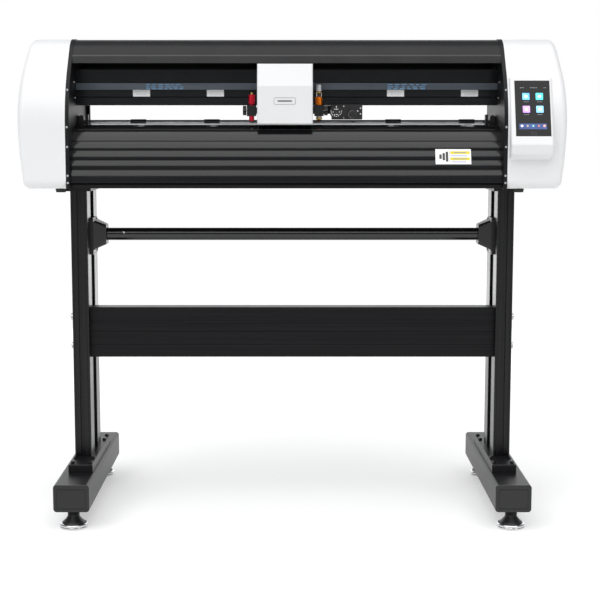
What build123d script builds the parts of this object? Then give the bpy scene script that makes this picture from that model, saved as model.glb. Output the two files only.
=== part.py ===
from build123d import *
import math
import os

# Floor-standing vinyl cutter, millimetres. X runs to the right, Y to the rear and Z up.
# The origin is on the floor at the centre of the overall width and of the feet's length.

# ---- driving dimensions -------------------------------------------------------------------
HALF_WIDTH = 575.0          # centre to the outermost point of each end cover
FOOT_HALF_LENGTH = 253.0    # centre to the outer face of a foot's end cap
HEAD_TOP = 1022.0
HEAD_BASE = 705.0
HEAD_FRONT = -144.0
HEAD_REAR = 125.0
BROW_Z = 828.0              # where the upright front starts to curve
BROW_RADIUS = 202.0
CROWN_LEAN = 38.5           # degrees the front leans back where the brow ends
CROWN_SLOPE = 56.0
REAR_RADIUS = 55.0
SIDE_RADIUS = 1000.0        # gentle doming of the end covers' outer faces
SIDE_MIDDLE = 850.0

LEG_X = 459.0               # centre of each leg
LEG_WIDTH = 36.0
LEG_HALF_DEPTH = 74.0
LEG_TOP = 698.0
BAR_Y = -35.0               # centre of the crossbar's thickness
BAR_MIDDLE = 389.0          # centre of the crossbar's height
BAR_DEPTH = 40.0
BAR_HEIGHT = 110.0
BAR_GROOVES = ((415, 3.4), (409, 1.6), (391, 1.6), (362, 1.6))   # height and width of each groove
BOLT_SPOTS = [(BAR_Y, BAR_MIDDLE + 32), (BAR_Y, BAR_MIDDLE - 32)]

FOOT_WIDTH = 75.0
FOOT_LOW = 40.0
FOOT_HIGH = 98.0
CAP_THICKNESS = 6.0
BASE_PLATE_HIGH = 116.0
TUBE_WALL = 3.0
LEVELLER_Y = 222.0
PAD_RADIUS = 29.5
STUD_RADIUS = 6.0

ROLL_RADIUS = 14.0          # media roll bar
ROLL_Z = 600.0
ROLL_HALF_LENGTH = 430.0

INNER_LEFT = -466.0         # inner faces of the side plates, where the media passes
INNER_RIGHT = 442.0
PLATE = 8.0                 # side plate thickness
OUTER_LEFT = INNER_LEFT - PLATE
OUTER_RIGHT = INNER_RIGHT + PLATE

STATIONS = [22.5 + x for x in (-361.5, -199.5, 199.5, 361.5)]   # pinch roller and grit sleeve centres
STICKERS = [28.5 + x for x in (-355, -195, 195, 355)]           # station stickers on the beam
GRIT_Y = 28.5
GRIT_Z = 842.5
GRIT_SHAFT_RADIUS = 7.0
GRIT_SLEEVE_RADIUS = 8.5
PLATEN_Z = 842.0
APRON_CURVE = [(19.0, PLATEN_Z), (-7.0, PLATEN_Z), (-50.0, 838.5), (-84.0, 829.0)]
APRON_STEPS = [(-84.0, 829.0), (-105.0, 804.0), (-114.0, 785.0), (-122.0, 765.0),
               (-129.0, 745.0), (-136.0, 717.0)]
APRON_BULGE = 2.0           # height of each rib's arc

LIFT_Y = 105.0              # axis of the shaft that lifts the pinch rollers
LIFT_Z = 892.0
LIFT_RADIUS = 5.0
ROLLER_RADIUS = 8.0
ROLLER_GAP = 0.3            # roller to grit sleeve when lowered
LIFT_SWING = 25.0           # degrees from raised to lowered
LOWERED_Z = GRIT_Z + GRIT_SLEEVE_RADIUS + ROLLER_GAP + ROLLER_RADIUS
ARM_LENGTH = math.hypot(LIFT_Y - GRIT_Y, LIFT_Z - LOWERED_Z)
RAISED_ANGLE = 180 + math.degrees(math.atan2(LIFT_Z - LOWERED_Z, LIFT_Y - GRIT_Y)) - LIFT_SWING
ROLLER_Y = LIFT_Y + ARM_LENGTH * math.cos(math.radians(RAISED_ANGLE))
ROLLER_Z = LIFT_Z + ARM_LENGTH * math.sin(math.radians(RAISED_ANGLE))
PIN_RADIUS = 2.5

BEAM_FRONT = -22.0
BEAM_REAR = 10.0
BEAM_LOW = 880.5
BEAM_HIGH = 957.0
RAIL_LOW = 914.0
RAIL_HIGH = 928.0
RAIL_FRONT = -30.0

BELT_Y = -10.0              # carriage belt, above the beam
BELT_Z = 966.0
BELT_WIDTH = 9.0
BELT_THICKNESS = 1.4
PULLEY_INNER = 5.4
IDLER_X = -500.0
DRIVE_X = 482.0
BELT_WINDOW = ((BELT_Y - 9, BELT_Y + 9), (BELT_Z - 12, BELT_Z + 12))   # in each side plate

FEED_PULLEY_RADIUS = 24.0
FEED_MOTOR_PULLEY_RADIUS = 8.0
FEED_MOTOR_Z = 770.0
FEED_BELT_X = (462.0, 471.0)
FEED_PULLEY_X = (FEED_BELT_X[0] + FEED_BELT_X[1]) / 2
FEED_MOTOR_FACE = 482.0
FEED_MOTOR_HALF = 28.0      # half the feed motor's square

LEFT_TOOL = (-87.0, -62.0)  # X, Y of each tool holder's axis
RIGHT_TOOL = (57.0, -62.0)
LEFT_GUIDE = (-60.0, -48.0)
RIGHT_GUIDE = (29.0, -48.0)
GUIDE_RADIUS = 3.0

LIP_HIGH = 983.0            # top cover: crease and lower edge of its front lip
LIP_LOW = 968.5
REAR_EDGE = 888.0           # top cover: lower edge of its rear wall
LEVER_X = 405.0

MOTOR_FRONT = 5.0           # carriage motor's front face
MOTOR_HALF = 21.0           # half the carriage motor's square

CARRIAGE_X = (-74.5, 43.5)  # carriage cover's limits on each axis
COVER_Y = (-100.0, -54.0)
COVER_Z = (840.0, 967.0)
COVER_CREASE = 920.0        # where its front starts to lean back

COVER_WALL = 3.0            # end covers and console
CONSOLE_X = (453.0, 542.0)
SCREEN_TOP = (-124.0, 935.0)   # Y, Z at the top of the console's sloped face
SCREEN_TILT = 19.5          # degrees back from upright
SCREEN_FACE = 146.0         # length of the sloped face
SCREEN_X = 499.75           # centre of the glass
GLASS_WIDTH = 73.0
GLASS_HEIGHT = 122.0
GLASS_START = 5.0           # from the face's top edge to the glass

INLET_X = 520.0             # mains inlet, with the rocker above it
INLET_Z = 760.0
ROCKER_Z = INLET_Z + 25.0
ROCKER_TILT = 7.0           # degrees
USB_X = 480.0

RUNNING = 0.05              # radial clearance of a turning or sliding fit
SIDES = (-1, 1)


# ---- shared shapes ------------------------------------------------------------------------
def block(x, y, z):
    """A box between a low and a high limit on each axis."""
    centre = [(low + high) / 2 for low, high in (x, y, z)]
    size = [high - low for low, high in (x, y, z)]
    return Pos(*centre) * Box(*size)


def bar_x(radius, x, y, z):
    """A round bar along X between two limits."""
    return Pos((x[0] + x[1]) / 2, y, z) * Rot(0, 90, 0) * Cylinder(radius, x[1] - x[0])


def bar_y(radius, x, y, z):
    """A round bar along Y between two limits."""
    return Pos(x, (y[0] + y[1]) / 2, z) * Rot(90, 0, 0) * Cylinder(radius, y[1] - y[0])


def bar_z(radius, x, y, z):
    """A round bar along Z between two limits."""
    return Pos(x, y, (z[0] + z[1]) / 2) * Cylinder(radius, z[1] - z[0])


def run_x(face, x):
    """A face drawn in Y and Z, run along X between two limits."""
    return Pos(x[0], 0, 0) * extrude(Plane.YZ * face, amount=x[1] - x[0], dir=(1, 0, 0))


def polygon(*points):
    """A closed face with straight sides."""
    return make_face(Polyline(*points, close=True))


def mirrored(shape):
    """The same shape on the other side of the machine's centre plane."""
    return mirror(shape, about=Plane.YZ)


def corner(direction, length):
    """The step from one end of a line to its other end, from an angle in degrees."""
    angle = math.radians(direction)
    return length * math.cos(angle), length * math.sin(angle)


def head_outline(inset=0.0):
    """The head's D-shaped end view: upright front, crown of two arcs and a slope, rounded rear."""
    brow = JernArc((HEAD_FRONT, BROW_Z), (0, 1), BROW_RADIUS, -CROWN_LEAN)
    slope = Line(brow @ 1, brow @ 1 + (brow % 1) * CROWN_SLOPE)
    crown_radius = (HEAD_TOP - (slope @ 1).Y) / (1 - math.sin(math.radians(CROWN_LEAN)))
    crown = JernArc(slope @ 1, slope % 1, crown_radius, CROWN_LEAN - 90)
    rear = JernArc((HEAD_REAR - REAR_RADIUS, HEAD_TOP), (1, 0), REAR_RADIUS, -90)
    lines = [
        Line((HEAD_FRONT, HEAD_BASE), (HEAD_FRONT, BROW_Z)),
        brow,
        slope,
        crown,
        Line(crown @ 1, rear @ 0),
        rear,
        Line(rear @ 1, (HEAD_REAR, HEAD_BASE)),
        Line((HEAD_REAR, HEAD_BASE), (HEAD_FRONT, HEAD_BASE)),
    ]
    face = make_face(Curve() + lines)
    if inset:
        face = offset(face, -inset, kind=Kind.INTERSECTION)
    return face


# ---- stand ---------------------------------------------------------------------------------
def foot_tube(side):
    """A hollow steel foot with a weld nut inside over each levelling pad."""
    low_x, high_x = sorted((side * LEG_X - FOOT_WIDTH / 2, side * LEG_X + FOOT_WIDTH / 2))
    length = FOOT_HALF_LENGTH - CAP_THICKNESS
    outer = block((low_x, high_x), (-length, length), (FOOT_LOW, FOOT_HIGH))
    outer = fillet(outer.edges().filter_by(Axis.Y), 7)
    inner = block((low_x + TUBE_WALL, high_x - TUBE_WALL), (-length - 1, length + 1),
                  (FOOT_LOW + TUBE_WALL, FOOT_HIGH - TUBE_WALL))
    tube = outer - fillet(inner.edges().filter_by(Axis.Y), 4)
    for y in (-LEVELLER_Y, LEVELLER_Y):
        tube += block((side * LEG_X - 11, side * LEG_X + 11), (y - 11, y + 11),
                      (FOOT_LOW + TUBE_WALL, FOOT_LOW + TUBE_WALL + 12))
        tube -= bar_z(STUD_RADIUS + RUNNING, side * LEG_X, y, (FOOT_LOW - 1, FOOT_LOW + TUBE_WALL + 13))
    return tube


def foot_tubes():
    """Both feet."""
    return Compound(children=[foot_tube(side) for side in SIDES])


def foot_end_caps():
    """Moulded plugs that close both ends of each foot, each with a raised rim."""
    caps = []
    for side in SIDES:
        for end in SIDES:
            inner_y, outer_y = end * (FOOT_HALF_LENGTH - CAP_THICKNESS), end * FOOT_HALF_LENGTH
            x = (side * LEG_X - FOOT_WIDTH / 2, side * LEG_X + FOOT_WIDTH / 2)
            cap = block(x, sorted((inner_y, outer_y)), (FOOT_LOW, FOOT_HIGH))
            cap = fillet(cap.edges().filter_by(Axis.Y), 7)
            outer_edges = [e for e in cap.edges() if abs(e.center().Y - outer_y) < 0.1]
            cap = fillet(outer_edges, 2)
            groove = block((x[0] + 7, x[1] - 7), sorted((outer_y - end * 1.2, outer_y + end)),
                           (FOOT_LOW + 7, FOOT_HIGH - 9))
            island = block((x[0] + 8.5, x[1] - 8.5), sorted((outer_y - end * 3, outer_y + end)),
                           (FOOT_LOW + 8.5, FOOT_HIGH - 10.5))
            cap -= groove - island
            plug = block((x[0] + 3.2, x[1] - 3.2), sorted((inner_y - end * 12, inner_y)),
                         (FOOT_LOW + 3.2, FOOT_HIGH - 3.2))
            plug = fillet(plug.edges().filter_by(Axis.Y), 4)
            caps.append(cap + plug)
    return Compound(children=caps)


def leveller(side, y):
    """A levelling foot: chromed floor disc, then a tapered collar, stem and threaded stud."""
    x = side * LEG_X
    disc = bar_z(PAD_RADIUS, x, y, (0, 11))
    disc = fillet([e for e in disc.edges() if e.center().Z > 10], 3.5)
    disc = chamfer([e for e in disc.edges() if e.center().Z < 0.5], 1.2)
    collar = Pos(x, y, 17.5) * Cone(25, 13, 13)
    stem = bar_z(12.5, x, y, (24, FOOT_LOW - 0.8))
    stud = bar_z(STUD_RADIUS, x, y, (FOOT_LOW - 0.8, 78))
    return Compound(children=[disc, collar + stem + stud])


def leg_plates():
    """The block under each leg and the plate on top of it that the head stands on."""
    plates = []
    for side in SIDES:
        x = sorted((side * 428, side * 480))
        plate = block(x, (-150, 148), (FOOT_HIGH, BASE_PLATE_HIGH))
        plate = fillet([e for e in plate.edges() if e.center().Z > BASE_PLATE_HIGH - 0.1], 2.5)
        plates.append(plate)
        plates.append(block(sorted((side * 430, side * 484)), (-90, 90), (LEG_TOP, HEAD_BASE)))
    return Compound(children=plates)


def leg(side):
    """A hollow extruded leg: a sunk channel on each wide face and a slot down each narrow face."""
    half = LEG_WIDTH / 2
    outer = RectangleRounded(LEG_WIDTH, 2 * LEG_HALF_DEPTH, 2)
    for direction in SIDES:
        outer -= Pos(direction * half, 0) * Rectangle(12, 48)
        outer -= Pos(0, direction * LEG_HALF_DEPTH) * Rectangle(9, 10)
        for offset_x in (-13, 13):
            outer -= Pos(offset_x, direction * LEG_HALF_DEPTH) * Rectangle(1.4, 2.4)
        for groove_y in (31, 66):
            outer -= Pos(half, direction * groove_y) * Rectangle(1.2, 1.4)
            outer -= Pos(-half, direction * groove_y) * Rectangle(1.2, 1.4)
        outer -= Pos(0, direction * 46.5) * RectangleRounded(LEG_WIDTH - 6, 37, 2)
    outer -= RectangleRounded(LEG_WIDTH - 18, 40, 2)
    return Pos(side * LEG_X, 0, BASE_PLATE_HIGH) * extrude(outer, amount=LEG_TOP - BASE_PLATE_HIGH)


def legs():
    """Both legs."""
    return Compound(children=[leg(side) for side in SIDES])


def stand_bolts():
    """Cap bolts: through each leg into the crossbar, and down through the base plates."""
    bolts = []
    outer = LEG_X + LEG_WIDTH / 2
    for side in SIDES:
        for y, z in BOLT_SPOTS:
            washer = bar_x(9.5, (outer, outer + 1.6), y, z)
            head = bar_x(7.0, (outer + 1.6, outer + 9), y, z)
            head = fillet([e for e in head.edges() if e.center().X > outer + 8.5], 1)
            socket = Pos(outer + 6, y, z) * Rot(0, 90, 0) * extrude(RegularPolygon(3.5, 6), 6)
            shank = bar_x(4.0, (outer - LEG_WIDTH - 12, outer), y, z)
            bolt = washer + (head - socket) + shank
            bolts.append(bolt if side > 0 else mirrored(bolt))
        for x in (434.5, 473.5):
            for y in (-134, -90, 90, 132):
                head = bar_z(4.6, side * x, y, (BASE_PLATE_HIGH, BASE_PLATE_HIGH + 5))
                shank = bar_z(3.0, side * x, y, (FOOT_HIGH - 6, BASE_PLATE_HIGH))
                hexagon = Pos(side * x, y, BASE_PLATE_HIGH + 2.5) * extrude(RegularPolygon(2.4, 6), 4)
                bolts.append(head + shank - hexagon)
    return Compound(children=bolts)


def crossbar():
    """The deep hollow rail between the legs, with grooves along its front and rear faces."""
    outer = Pos(BAR_Y, BAR_MIDDLE) * RectangleRounded(BAR_DEPTH, BAR_HEIGHT, 2.5)
    for z, height in BAR_GROOVES:
        for y in (BAR_Y - BAR_DEPTH / 2, BAR_Y + BAR_DEPTH / 2):
            outer -= Pos(y, z) * Rectangle(2.4, height)
    outer -= Pos(BAR_Y, BAR_MIDDLE) * RectangleRounded(BAR_DEPTH - 6, BAR_HEIGHT - 6, 2)
    outer += Pos(BAR_Y, BAR_MIDDLE + 2) * Rectangle(BAR_DEPTH - 5, 3)
    span = LEG_X - LEG_WIDTH / 2
    return run_x(outer, (-span, span))


# ---- media bar -----------------------------------------------------------------------------
def roll_bar():
    """The steel tube that a roll of media hangs on."""
    tube = bar_x(ROLL_RADIUS, (-ROLL_HALF_LENGTH, ROLL_HALF_LENGTH), 0, ROLL_Z)
    return tube - bar_x(ROLL_RADIUS - 2, (-ROLL_HALF_LENGTH - 1, ROLL_HALF_LENGTH + 1), 0, ROLL_Z)


def bar_bracket():
    """The right-hand bracket: a plate on the leg and a tapered boss that holds the tube's end."""
    leg_face = LEG_X - LEG_WIDTH / 2
    plate = block((leg_face - 6, leg_face), (-35, 35), (ROLL_Z - 43, ROLL_Z + 37))
    plate = fillet(plate.edges().filter_by(Axis.X), 4)
    root = Plane((leg_face - 6, 0, ROLL_Z), x_dir=(0, 1, 0), z_dir=(-1, 0, 0))
    tip = Plane((408, 0, ROLL_Z), x_dir=(0, 1, 0), z_dir=(-1, 0, 0))
    boss = loft([root * RectangleRounded(64, 66, 6), tip * RectangleRounded(43, 43, 8)])
    return plate + boss - bar_x(ROLL_RADIUS + RUNNING, (400, ROLL_HALF_LENGTH + 1), 0, ROLL_Z)


def bar_brackets():
    """Both brackets of the media bar."""
    right = bar_bracket()
    return Compound(children=[right, mirrored(right)])


# ---- head casing ---------------------------------------------------------------------------
def side_plate(x):
    """A D-shaped plate with holes for both shafts and a window for the carriage belt."""
    plate = run_x(head_outline(), x)
    low_x, high_x = x[0] - 1, x[1] + 1
    plate -= bar_x(11, (low_x, high_x), GRIT_Y, GRIT_Z)
    plate -= bar_x(LIFT_RADIUS + RUNNING, (low_x, high_x), LIFT_Y, LIFT_Z)
    plate -= block((low_x, high_x), *BELT_WINDOW)
    return plate


def side_plates():
    """Both side plates, the left one with a short flange beside the rear of the media slot."""
    flange = block((INNER_LEFT, INNER_LEFT + 8), (112, 122), (PLATEN_Z + 3, REAR_EDGE - 2))
    left = side_plate((OUTER_LEFT, INNER_LEFT)) + flange
    return Compound(children=[left, side_plate((INNER_RIGHT, OUTER_RIGHT))])


def cover_body(start, inset):
    """A solid of an end cover's outer shape, from a side plate outwards, pulled in by the inset."""
    prism = run_x(head_outline(inset), (start, HALF_WIDTH + 10))
    dome = bar_y(SIDE_RADIUS - inset, HALF_WIDTH - SIDE_RADIUS, (-200, 200), SIDE_MIDDLE)
    body = prism & dome
    base_edges = [e for e in body.edges().filter_by(Axis.X) if e.center().Z < HEAD_BASE + inset + 1]
    body = fillet(base_edges, 20 - inset)
    rim = [e for e in body.edges() if e.center().X > 530]
    return fillet(rim, 15 - inset)


def screen_plane(down):
    """A plane on the console's sloped face, a distance down from its top edge; local Y points up."""
    tilt = math.radians(SCREEN_TILT)
    origin = (SCREEN_X, SCREEN_TOP[0] - down * math.sin(tilt), SCREEN_TOP[1] - down * math.cos(tilt))
    return Plane(origin, x_dir=(1, 0, 0), z_dir=(0, -math.cos(tilt), math.sin(tilt)))


def console_body(inset):
    """A solid of the console bulge on the right-hand cover, pulled in all round by the inset."""
    tilt = math.radians(SCREEN_TILT)
    nose = (SCREEN_TOP[0] - SCREEN_FACE * math.sin(tilt), SCREEN_TOP[1] - SCREEN_FACE * math.cos(tilt))
    outline = polygon(SCREEN_TOP, nose, (nose[0] + 7, nose[1] - 20), (-136, 762), (-100, 762), (-100, 935))
    if inset:
        outline = offset(outline, -inset)
    body = run_x(outline, (CONSOLE_X[0] + inset, CONSOLE_X[1] - inset))
    if not inset:
        body = fillet([e for e in body.edges() if e.center().Y < -138], 5)
    return body


def left_end_cover():
    """The left-hand moulded shell."""
    start = -OUTER_LEFT
    return mirrored(cover_body(start, 0) - cover_body(start, COVER_WALL))


def right_end_cover():
    """The right-hand moulded shell with its console, screen window and rear sockets."""
    shell = cover_body(OUTER_RIGHT, 0) + console_body(0)
    shell -= cover_body(OUTER_RIGHT, COVER_WALL)
    shell -= console_body(COVER_WALL)
    window = screen_plane(GLASS_START + GLASS_HEIGHT / 2)
    shell -= extrude(window * Rectangle(GLASS_WIDTH + 0.4, GLASS_HEIGHT + 0.4), amount=-8)
    shell -= block((INLET_X - 14, INLET_X + 14), (HEAD_REAR - 8, HEAD_REAR + 1), (INLET_Z - 10, INLET_Z + 10))
    shell -= block((INLET_X - 11, INLET_X + 11), (HEAD_REAR - 8, HEAD_REAR + 1),
                   (INLET_Z + 18, INLET_Z + 32))
    shell -= block((USB_X - 6, USB_X + 6), (HEAD_REAR - 8, HEAD_REAR + 1), (INLET_Z - 6, INLET_Z + 6))
    return shell


def top_cover():
    """The bent sheet over the head, from the front lip to the rear edge above the media slot."""
    sheet = head_outline(1.5) - head_outline(4.0)
    sheet -= polygon((-200, 600), (-200, LIP_HIGH), (30, LIP_HIGH), (30, 600))
    sheet -= polygon((29, 600), (29, REAR_EDGE), (200, REAR_EDGE), (200, 600))
    lip_y = -76.5
    lip = polygon((lip_y, LIP_HIGH + 2.6), (lip_y - 2.5, LIP_HIGH), (lip_y - 4, LIP_LOW),
                  (lip_y + 8, LIP_LOW), (lip_y + 8, LIP_LOW + 2.5), (lip_y - 1, LIP_LOW + 2.5),
                  (lip_y + 0.5, LIP_HIGH - 0.5), (lip_y + 4, LIP_HIGH + 3))
    cover = run_x(sheet + lip, (INNER_LEFT, INNER_RIGHT))
    slot = block((LEVER_X - 9, LEVER_X + 9), (HEAD_REAR - 8, HEAD_REAR + 2), (REAR_EDGE - 1, REAR_EDGE + 60))
    return cover - slot


# ---- platen, aprons and tray ---------------------------------------------------------------
def apron_ribs():
    """The convex bands down the front apron, one arc between each pair of grooves."""
    ribs = []
    for (y0, z0), (y1, z1) in zip(APRON_STEPS, APRON_STEPS[1:]):
        length = math.hypot(y1 - y0, z1 - z0)
        out_y, out_z = (z1 - z0) / length, -(y1 - y0) / length
        middle = ((y0 + y1) / 2 + out_y * APRON_BULGE, (z0 + z1) / 2 + out_z * APRON_BULGE)
        ribs.append(ThreePointArc((y0, z0), middle, (y1, z1)))
    return ribs


def front_apron():
    """The black waterfall extrusion from the platen down the front of the head."""
    flat = Line(*APRON_CURVE[:2])
    fall = Spline(*APRON_CURVE[1:], tangents=((-1, 0), (-0.9, -0.44)))
    behind = [(y + 5.5, z - 3) for y, z in reversed(APRON_STEPS[:-1])]
    last = APRON_STEPS[-1]
    close = Polyline(last, (last[0] + 5.5, last[1]), *behind, (-50, 833), (-7, PLATEN_Z - 5),
                     (APRON_CURVE[0][0] - 4, PLATEN_Z - 5), (APRON_CURVE[0][0] - 4, 820),
                     (APRON_CURVE[0][0], 820), APRON_CURVE[0])
    face = make_face(Curve() + [flat, fall] + apron_ribs() + [close])
    for y, z in APRON_STEPS[:-1]:
        face -= Pos(y, z) * Circle(1.5)
    return run_x(face, (INNER_LEFT, INNER_RIGHT))


def rear_apron():
    """The rear half of the platen, falling away behind the grit shaft."""
    face = polygon((38, PLATEN_Z), (88, 839), (108, 828), (119, 806), (121, 717), (117, 717),
                   (115, 805), (105, 824), (87, 834.5), (42, PLATEN_Z - 5), (42, 820), (38, 820))
    return run_x(face, (INNER_LEFT, INNER_RIGHT))


def bottom_tray():
    """The bent sheet that closes the head underneath, with an upstand along each long edge."""
    face = polygon((-131, 706), (116, 706), (116, 730), (114, 730), (114, 708), (-129, 708),
                   (-129, 714), (-131, 714))
    return run_x(face, (INNER_LEFT, INNER_RIGHT))


def apron_label():
    """The sticker low on the front apron, left blank."""
    lower, upper = (-122.0, 765.0), (-105.0, 804.0)
    run = math.degrees(math.atan2(upper[1] - lower[1], upper[0] - lower[0]))
    plate = Rectangle(34, 0.6)
    centre_y = (lower[0] + upper[0]) / 2 - 3.1 * math.sin(math.radians(run))
    centre_z = (lower[1] + upper[1]) / 2 + 3.1 * math.cos(math.radians(run)) + 2
    return run_x(Pos(centre_y, centre_z) * Rot(0, 0, run) * plate, (301, 376))


# ---- beam, rail and carriage drive -----------------------------------------------------------
def beam():
    """The hollow extrusion across the head that carries the rail."""
    face = Pos((BEAM_FRONT + BEAM_REAR) / 2, (BEAM_LOW + BEAM_HIGH) / 2) * Rectangle(
        BEAM_REAR - BEAM_FRONT, BEAM_HIGH - BEAM_LOW)
    face += polygon((BEAM_FRONT, BEAM_LOW), (BEAM_FRONT, 899), (BEAM_FRONT - 2, 897),
                    (BEAM_FRONT - 2, BEAM_LOW))
    face -= polygon((BEAM_FRONT - 0.1, 899), (BEAM_FRONT - 0.1, RAIL_LOW), (BEAM_FRONT + 2, RAIL_LOW),
                    (BEAM_FRONT + 2, 899))
    face -= Pos(BEAM_FRONT - 2, 891) * Circle(1.2)
    for low, high in ((886, 909), (912, 931), (934, 954)):
        face -= polygon((BEAM_FRONT + 5, low), (BEAM_REAR - 3, low), (BEAM_REAR - 3, high),
                        (BEAM_FRONT + 5, high))
    for z in (930.5, 950):
        face -= Pos(BEAM_FRONT, z) * Rectangle(1.6, 1.2)
    return run_x(face, (INNER_LEFT, INNER_RIGHT))


def linear_rail():
    """The ground steel rail on the beam's front face, waisted on both sides."""
    middle = (RAIL_LOW + RAIL_HIGH) / 2
    face = Pos((RAIL_FRONT + BEAM_FRONT) / 2, middle) * Rectangle(BEAM_FRONT - RAIL_FRONT, RAIL_HIGH - RAIL_LOW)
    for z in (RAIL_LOW, RAIL_HIGH):
        face -= Pos(RAIL_FRONT + 4.5, z) * Rectangle(2.4, 3)
    rail = run_x(face, (INNER_LEFT, INNER_RIGHT))
    for x in range(-430, 440, 60):
        rail -= bar_y(2.2, x, (RAIL_FRONT - 1, RAIL_FRONT + 2.5), middle)
    return rail


def labels():
    """Blank stickers: one over each roller station on the beam, and one low on the apron."""
    depth = (BEAM_FRONT + 1.5, BEAM_FRONT + 2)
    stickers = [block((x - 18.5, x + 18.5), depth, (899.3, 913.7)) for x in STICKERS]
    return Compound(children=stickers + [apron_label()])


def belt_loop(start, end, inner_start, inner_end, width, thickness):
    """A belt around two pulleys of any two radii, drawn flat in local X and Y, run along local Z."""
    def hull(extra):
        first, second = inner_start + extra, inner_end + extra
        span = math.dist(start, end)
        heading = math.degrees(math.atan2(end[1] - start[1], end[0] - start[0]))
        lean = math.degrees(math.acos((first - second) / span))
        corners = []
        for centre, radius, turns in ((start, first, (lean, -lean)), (end, second, (-lean, lean))):
            for turn in turns:
                step_x, step_y = corner(heading + turn, radius)
                corners.append((centre[0] + step_x, centre[1] + step_y))
        return Pos(*start) * Circle(first) + Pos(*end) * Circle(second) + polygon(*corners)
    return extrude(hull(thickness) - hull(0), amount=width)


def carriage_belt():
    """The toothed belt above the beam that pulls the carriage."""
    loop = belt_loop((IDLER_X, BELT_Z), (DRIVE_X, BELT_Z), PULLEY_INNER + 0.3, PULLEY_INNER + 0.3,
                     BELT_WIDTH, BELT_THICKNESS)
    return Pos(0, BELT_Y + BELT_WIDTH / 2, 0) * Rot(90, 0, 0) * loop


def toothed_pulley(radius, width, bore, teeth, flange):
    """A toothed pulley on local Z, centred on its width, with a flange at each end."""
    body = Circle(radius)
    for index in range(teeth):
        step_x, step_y = corner(360 * index / teeth, radius)
        body -= Pos(step_x, step_y) * Circle(radius * 1.1 / teeth)
    pulley = Pos(0, 0, -width / 2) * extrude(body, amount=width)
    for low in (-width / 2 - 1.5, width / 2):
        pulley += Pos(0, 0, low + 0.75) * Cylinder(flange, 1.5)
    return pulley - Cylinder(bore, width + 10)


def idler_pulley():
    """The free pulley at the left end of the carriage belt."""
    return Pos(IDLER_X, BELT_Y, BELT_Z) * Rot(90, 0, 0) * toothed_pulley(PULLEY_INNER, 10, 2.55, 16, 8.5)


def idler_bracket():
    """The yoke and pin that hold the idler pulley, bolted to the left side plate."""
    yoke = block((IDLER_X - 8, OUTER_LEFT), (BELT_Y - 11, BELT_Y + 11), (BELT_Z - 14, BELT_Z + 14))
    yoke -= block((IDLER_X - 20, OUTER_LEFT + 1), (BELT_Y - 7.5, BELT_Y + 7.5), (BELT_Z - 11, BELT_Z + 11))
    return yoke + bar_y(2.5, IDLER_X, (BELT_Y - 12, BELT_Y + 12), BELT_Z)


def drive_pulley():
    """The motor's pulley at the right end of the carriage belt, with its shaft."""
    pulley = Pos(DRIVE_X, BELT_Y, BELT_Z) * Rot(90, 0, 0) * toothed_pulley(PULLEY_INNER, 10, 2.0, 16, 8.5)
    return pulley + bar_y(2.5, DRIVE_X, (BELT_Y - 8, MOTOR_FRONT + 6), BELT_Z)


def carriage_motor():
    """The square stepper motor behind the drive pulley."""
    motor = block((DRIVE_X - MOTOR_HALF, DRIVE_X + MOTOR_HALF), (MOTOR_FRONT, MOTOR_FRONT + 40),
                  (BELT_Z - MOTOR_HALF, BELT_Z + MOTOR_HALF))
    motor = chamfer(motor.edges().filter_by(Axis.Y), 3)
    return motor - bar_y(2.5 + RUNNING, DRIVE_X, (MOTOR_FRONT - 1, MOTOR_FRONT + 8), BELT_Z)


def carriage_motor_bracket():
    """The angle plate that fixes the carriage motor to the right side plate."""
    height = (BELT_Z - MOTOR_HALF, BELT_Z + MOTOR_HALF)
    plate = block((OUTER_RIGHT, DRIVE_X + MOTOR_HALF), (MOTOR_FRONT - 4, MOTOR_FRONT), height)
    plate -= bar_y(10, DRIVE_X, (MOTOR_FRONT - 5, MOTOR_FRONT + 1), BELT_Z)
    return plate + block((OUTER_RIGHT, OUTER_RIGHT + 4), (MOTOR_FRONT, MOTOR_FRONT + 30), height)


# ---- media feed --------------------------------------------------------------------------------
def grit_shaft():
    """The long feed shaft, reaching through both side plates to its pulley."""
    return bar_x(GRIT_SHAFT_RADIUS, (OUTER_LEFT - 8, FEED_BELT_X[1] + 8), GRIT_Y, GRIT_Z)


def grit_sleeves():
    """The knurled sleeves on the feed shaft, one under each pinch roller."""
    sleeves = []
    for x in STATIONS:
        sleeve = bar_x(GRIT_SLEEVE_RADIUS, (x - 17, x + 17), GRIT_Y, GRIT_Z)
        sleeve -= bar_x(GRIT_SHAFT_RADIUS, (x - 18, x + 18), GRIT_Y, GRIT_Z)
        sleeves.append(sleeve)
    return Compound(children=sleeves)


def shaft_bearings():
    """The flanged bearings of the feed shaft in both side plates."""
    rings = []
    for inner, outer, step in ((INNER_LEFT, OUTER_LEFT, -1), (INNER_RIGHT, OUTER_RIGHT, 1)):
        ring = bar_x(11, sorted((inner, outer)), GRIT_Y, GRIT_Z)
        ring += bar_x(13.5, sorted((outer, outer + step * 2)), GRIT_Y, GRIT_Z)
        rings.append(ring - bar_x(GRIT_SHAFT_RADIUS + RUNNING, (-600, 600), GRIT_Y, GRIT_Z))
    return Compound(children=rings)


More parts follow.
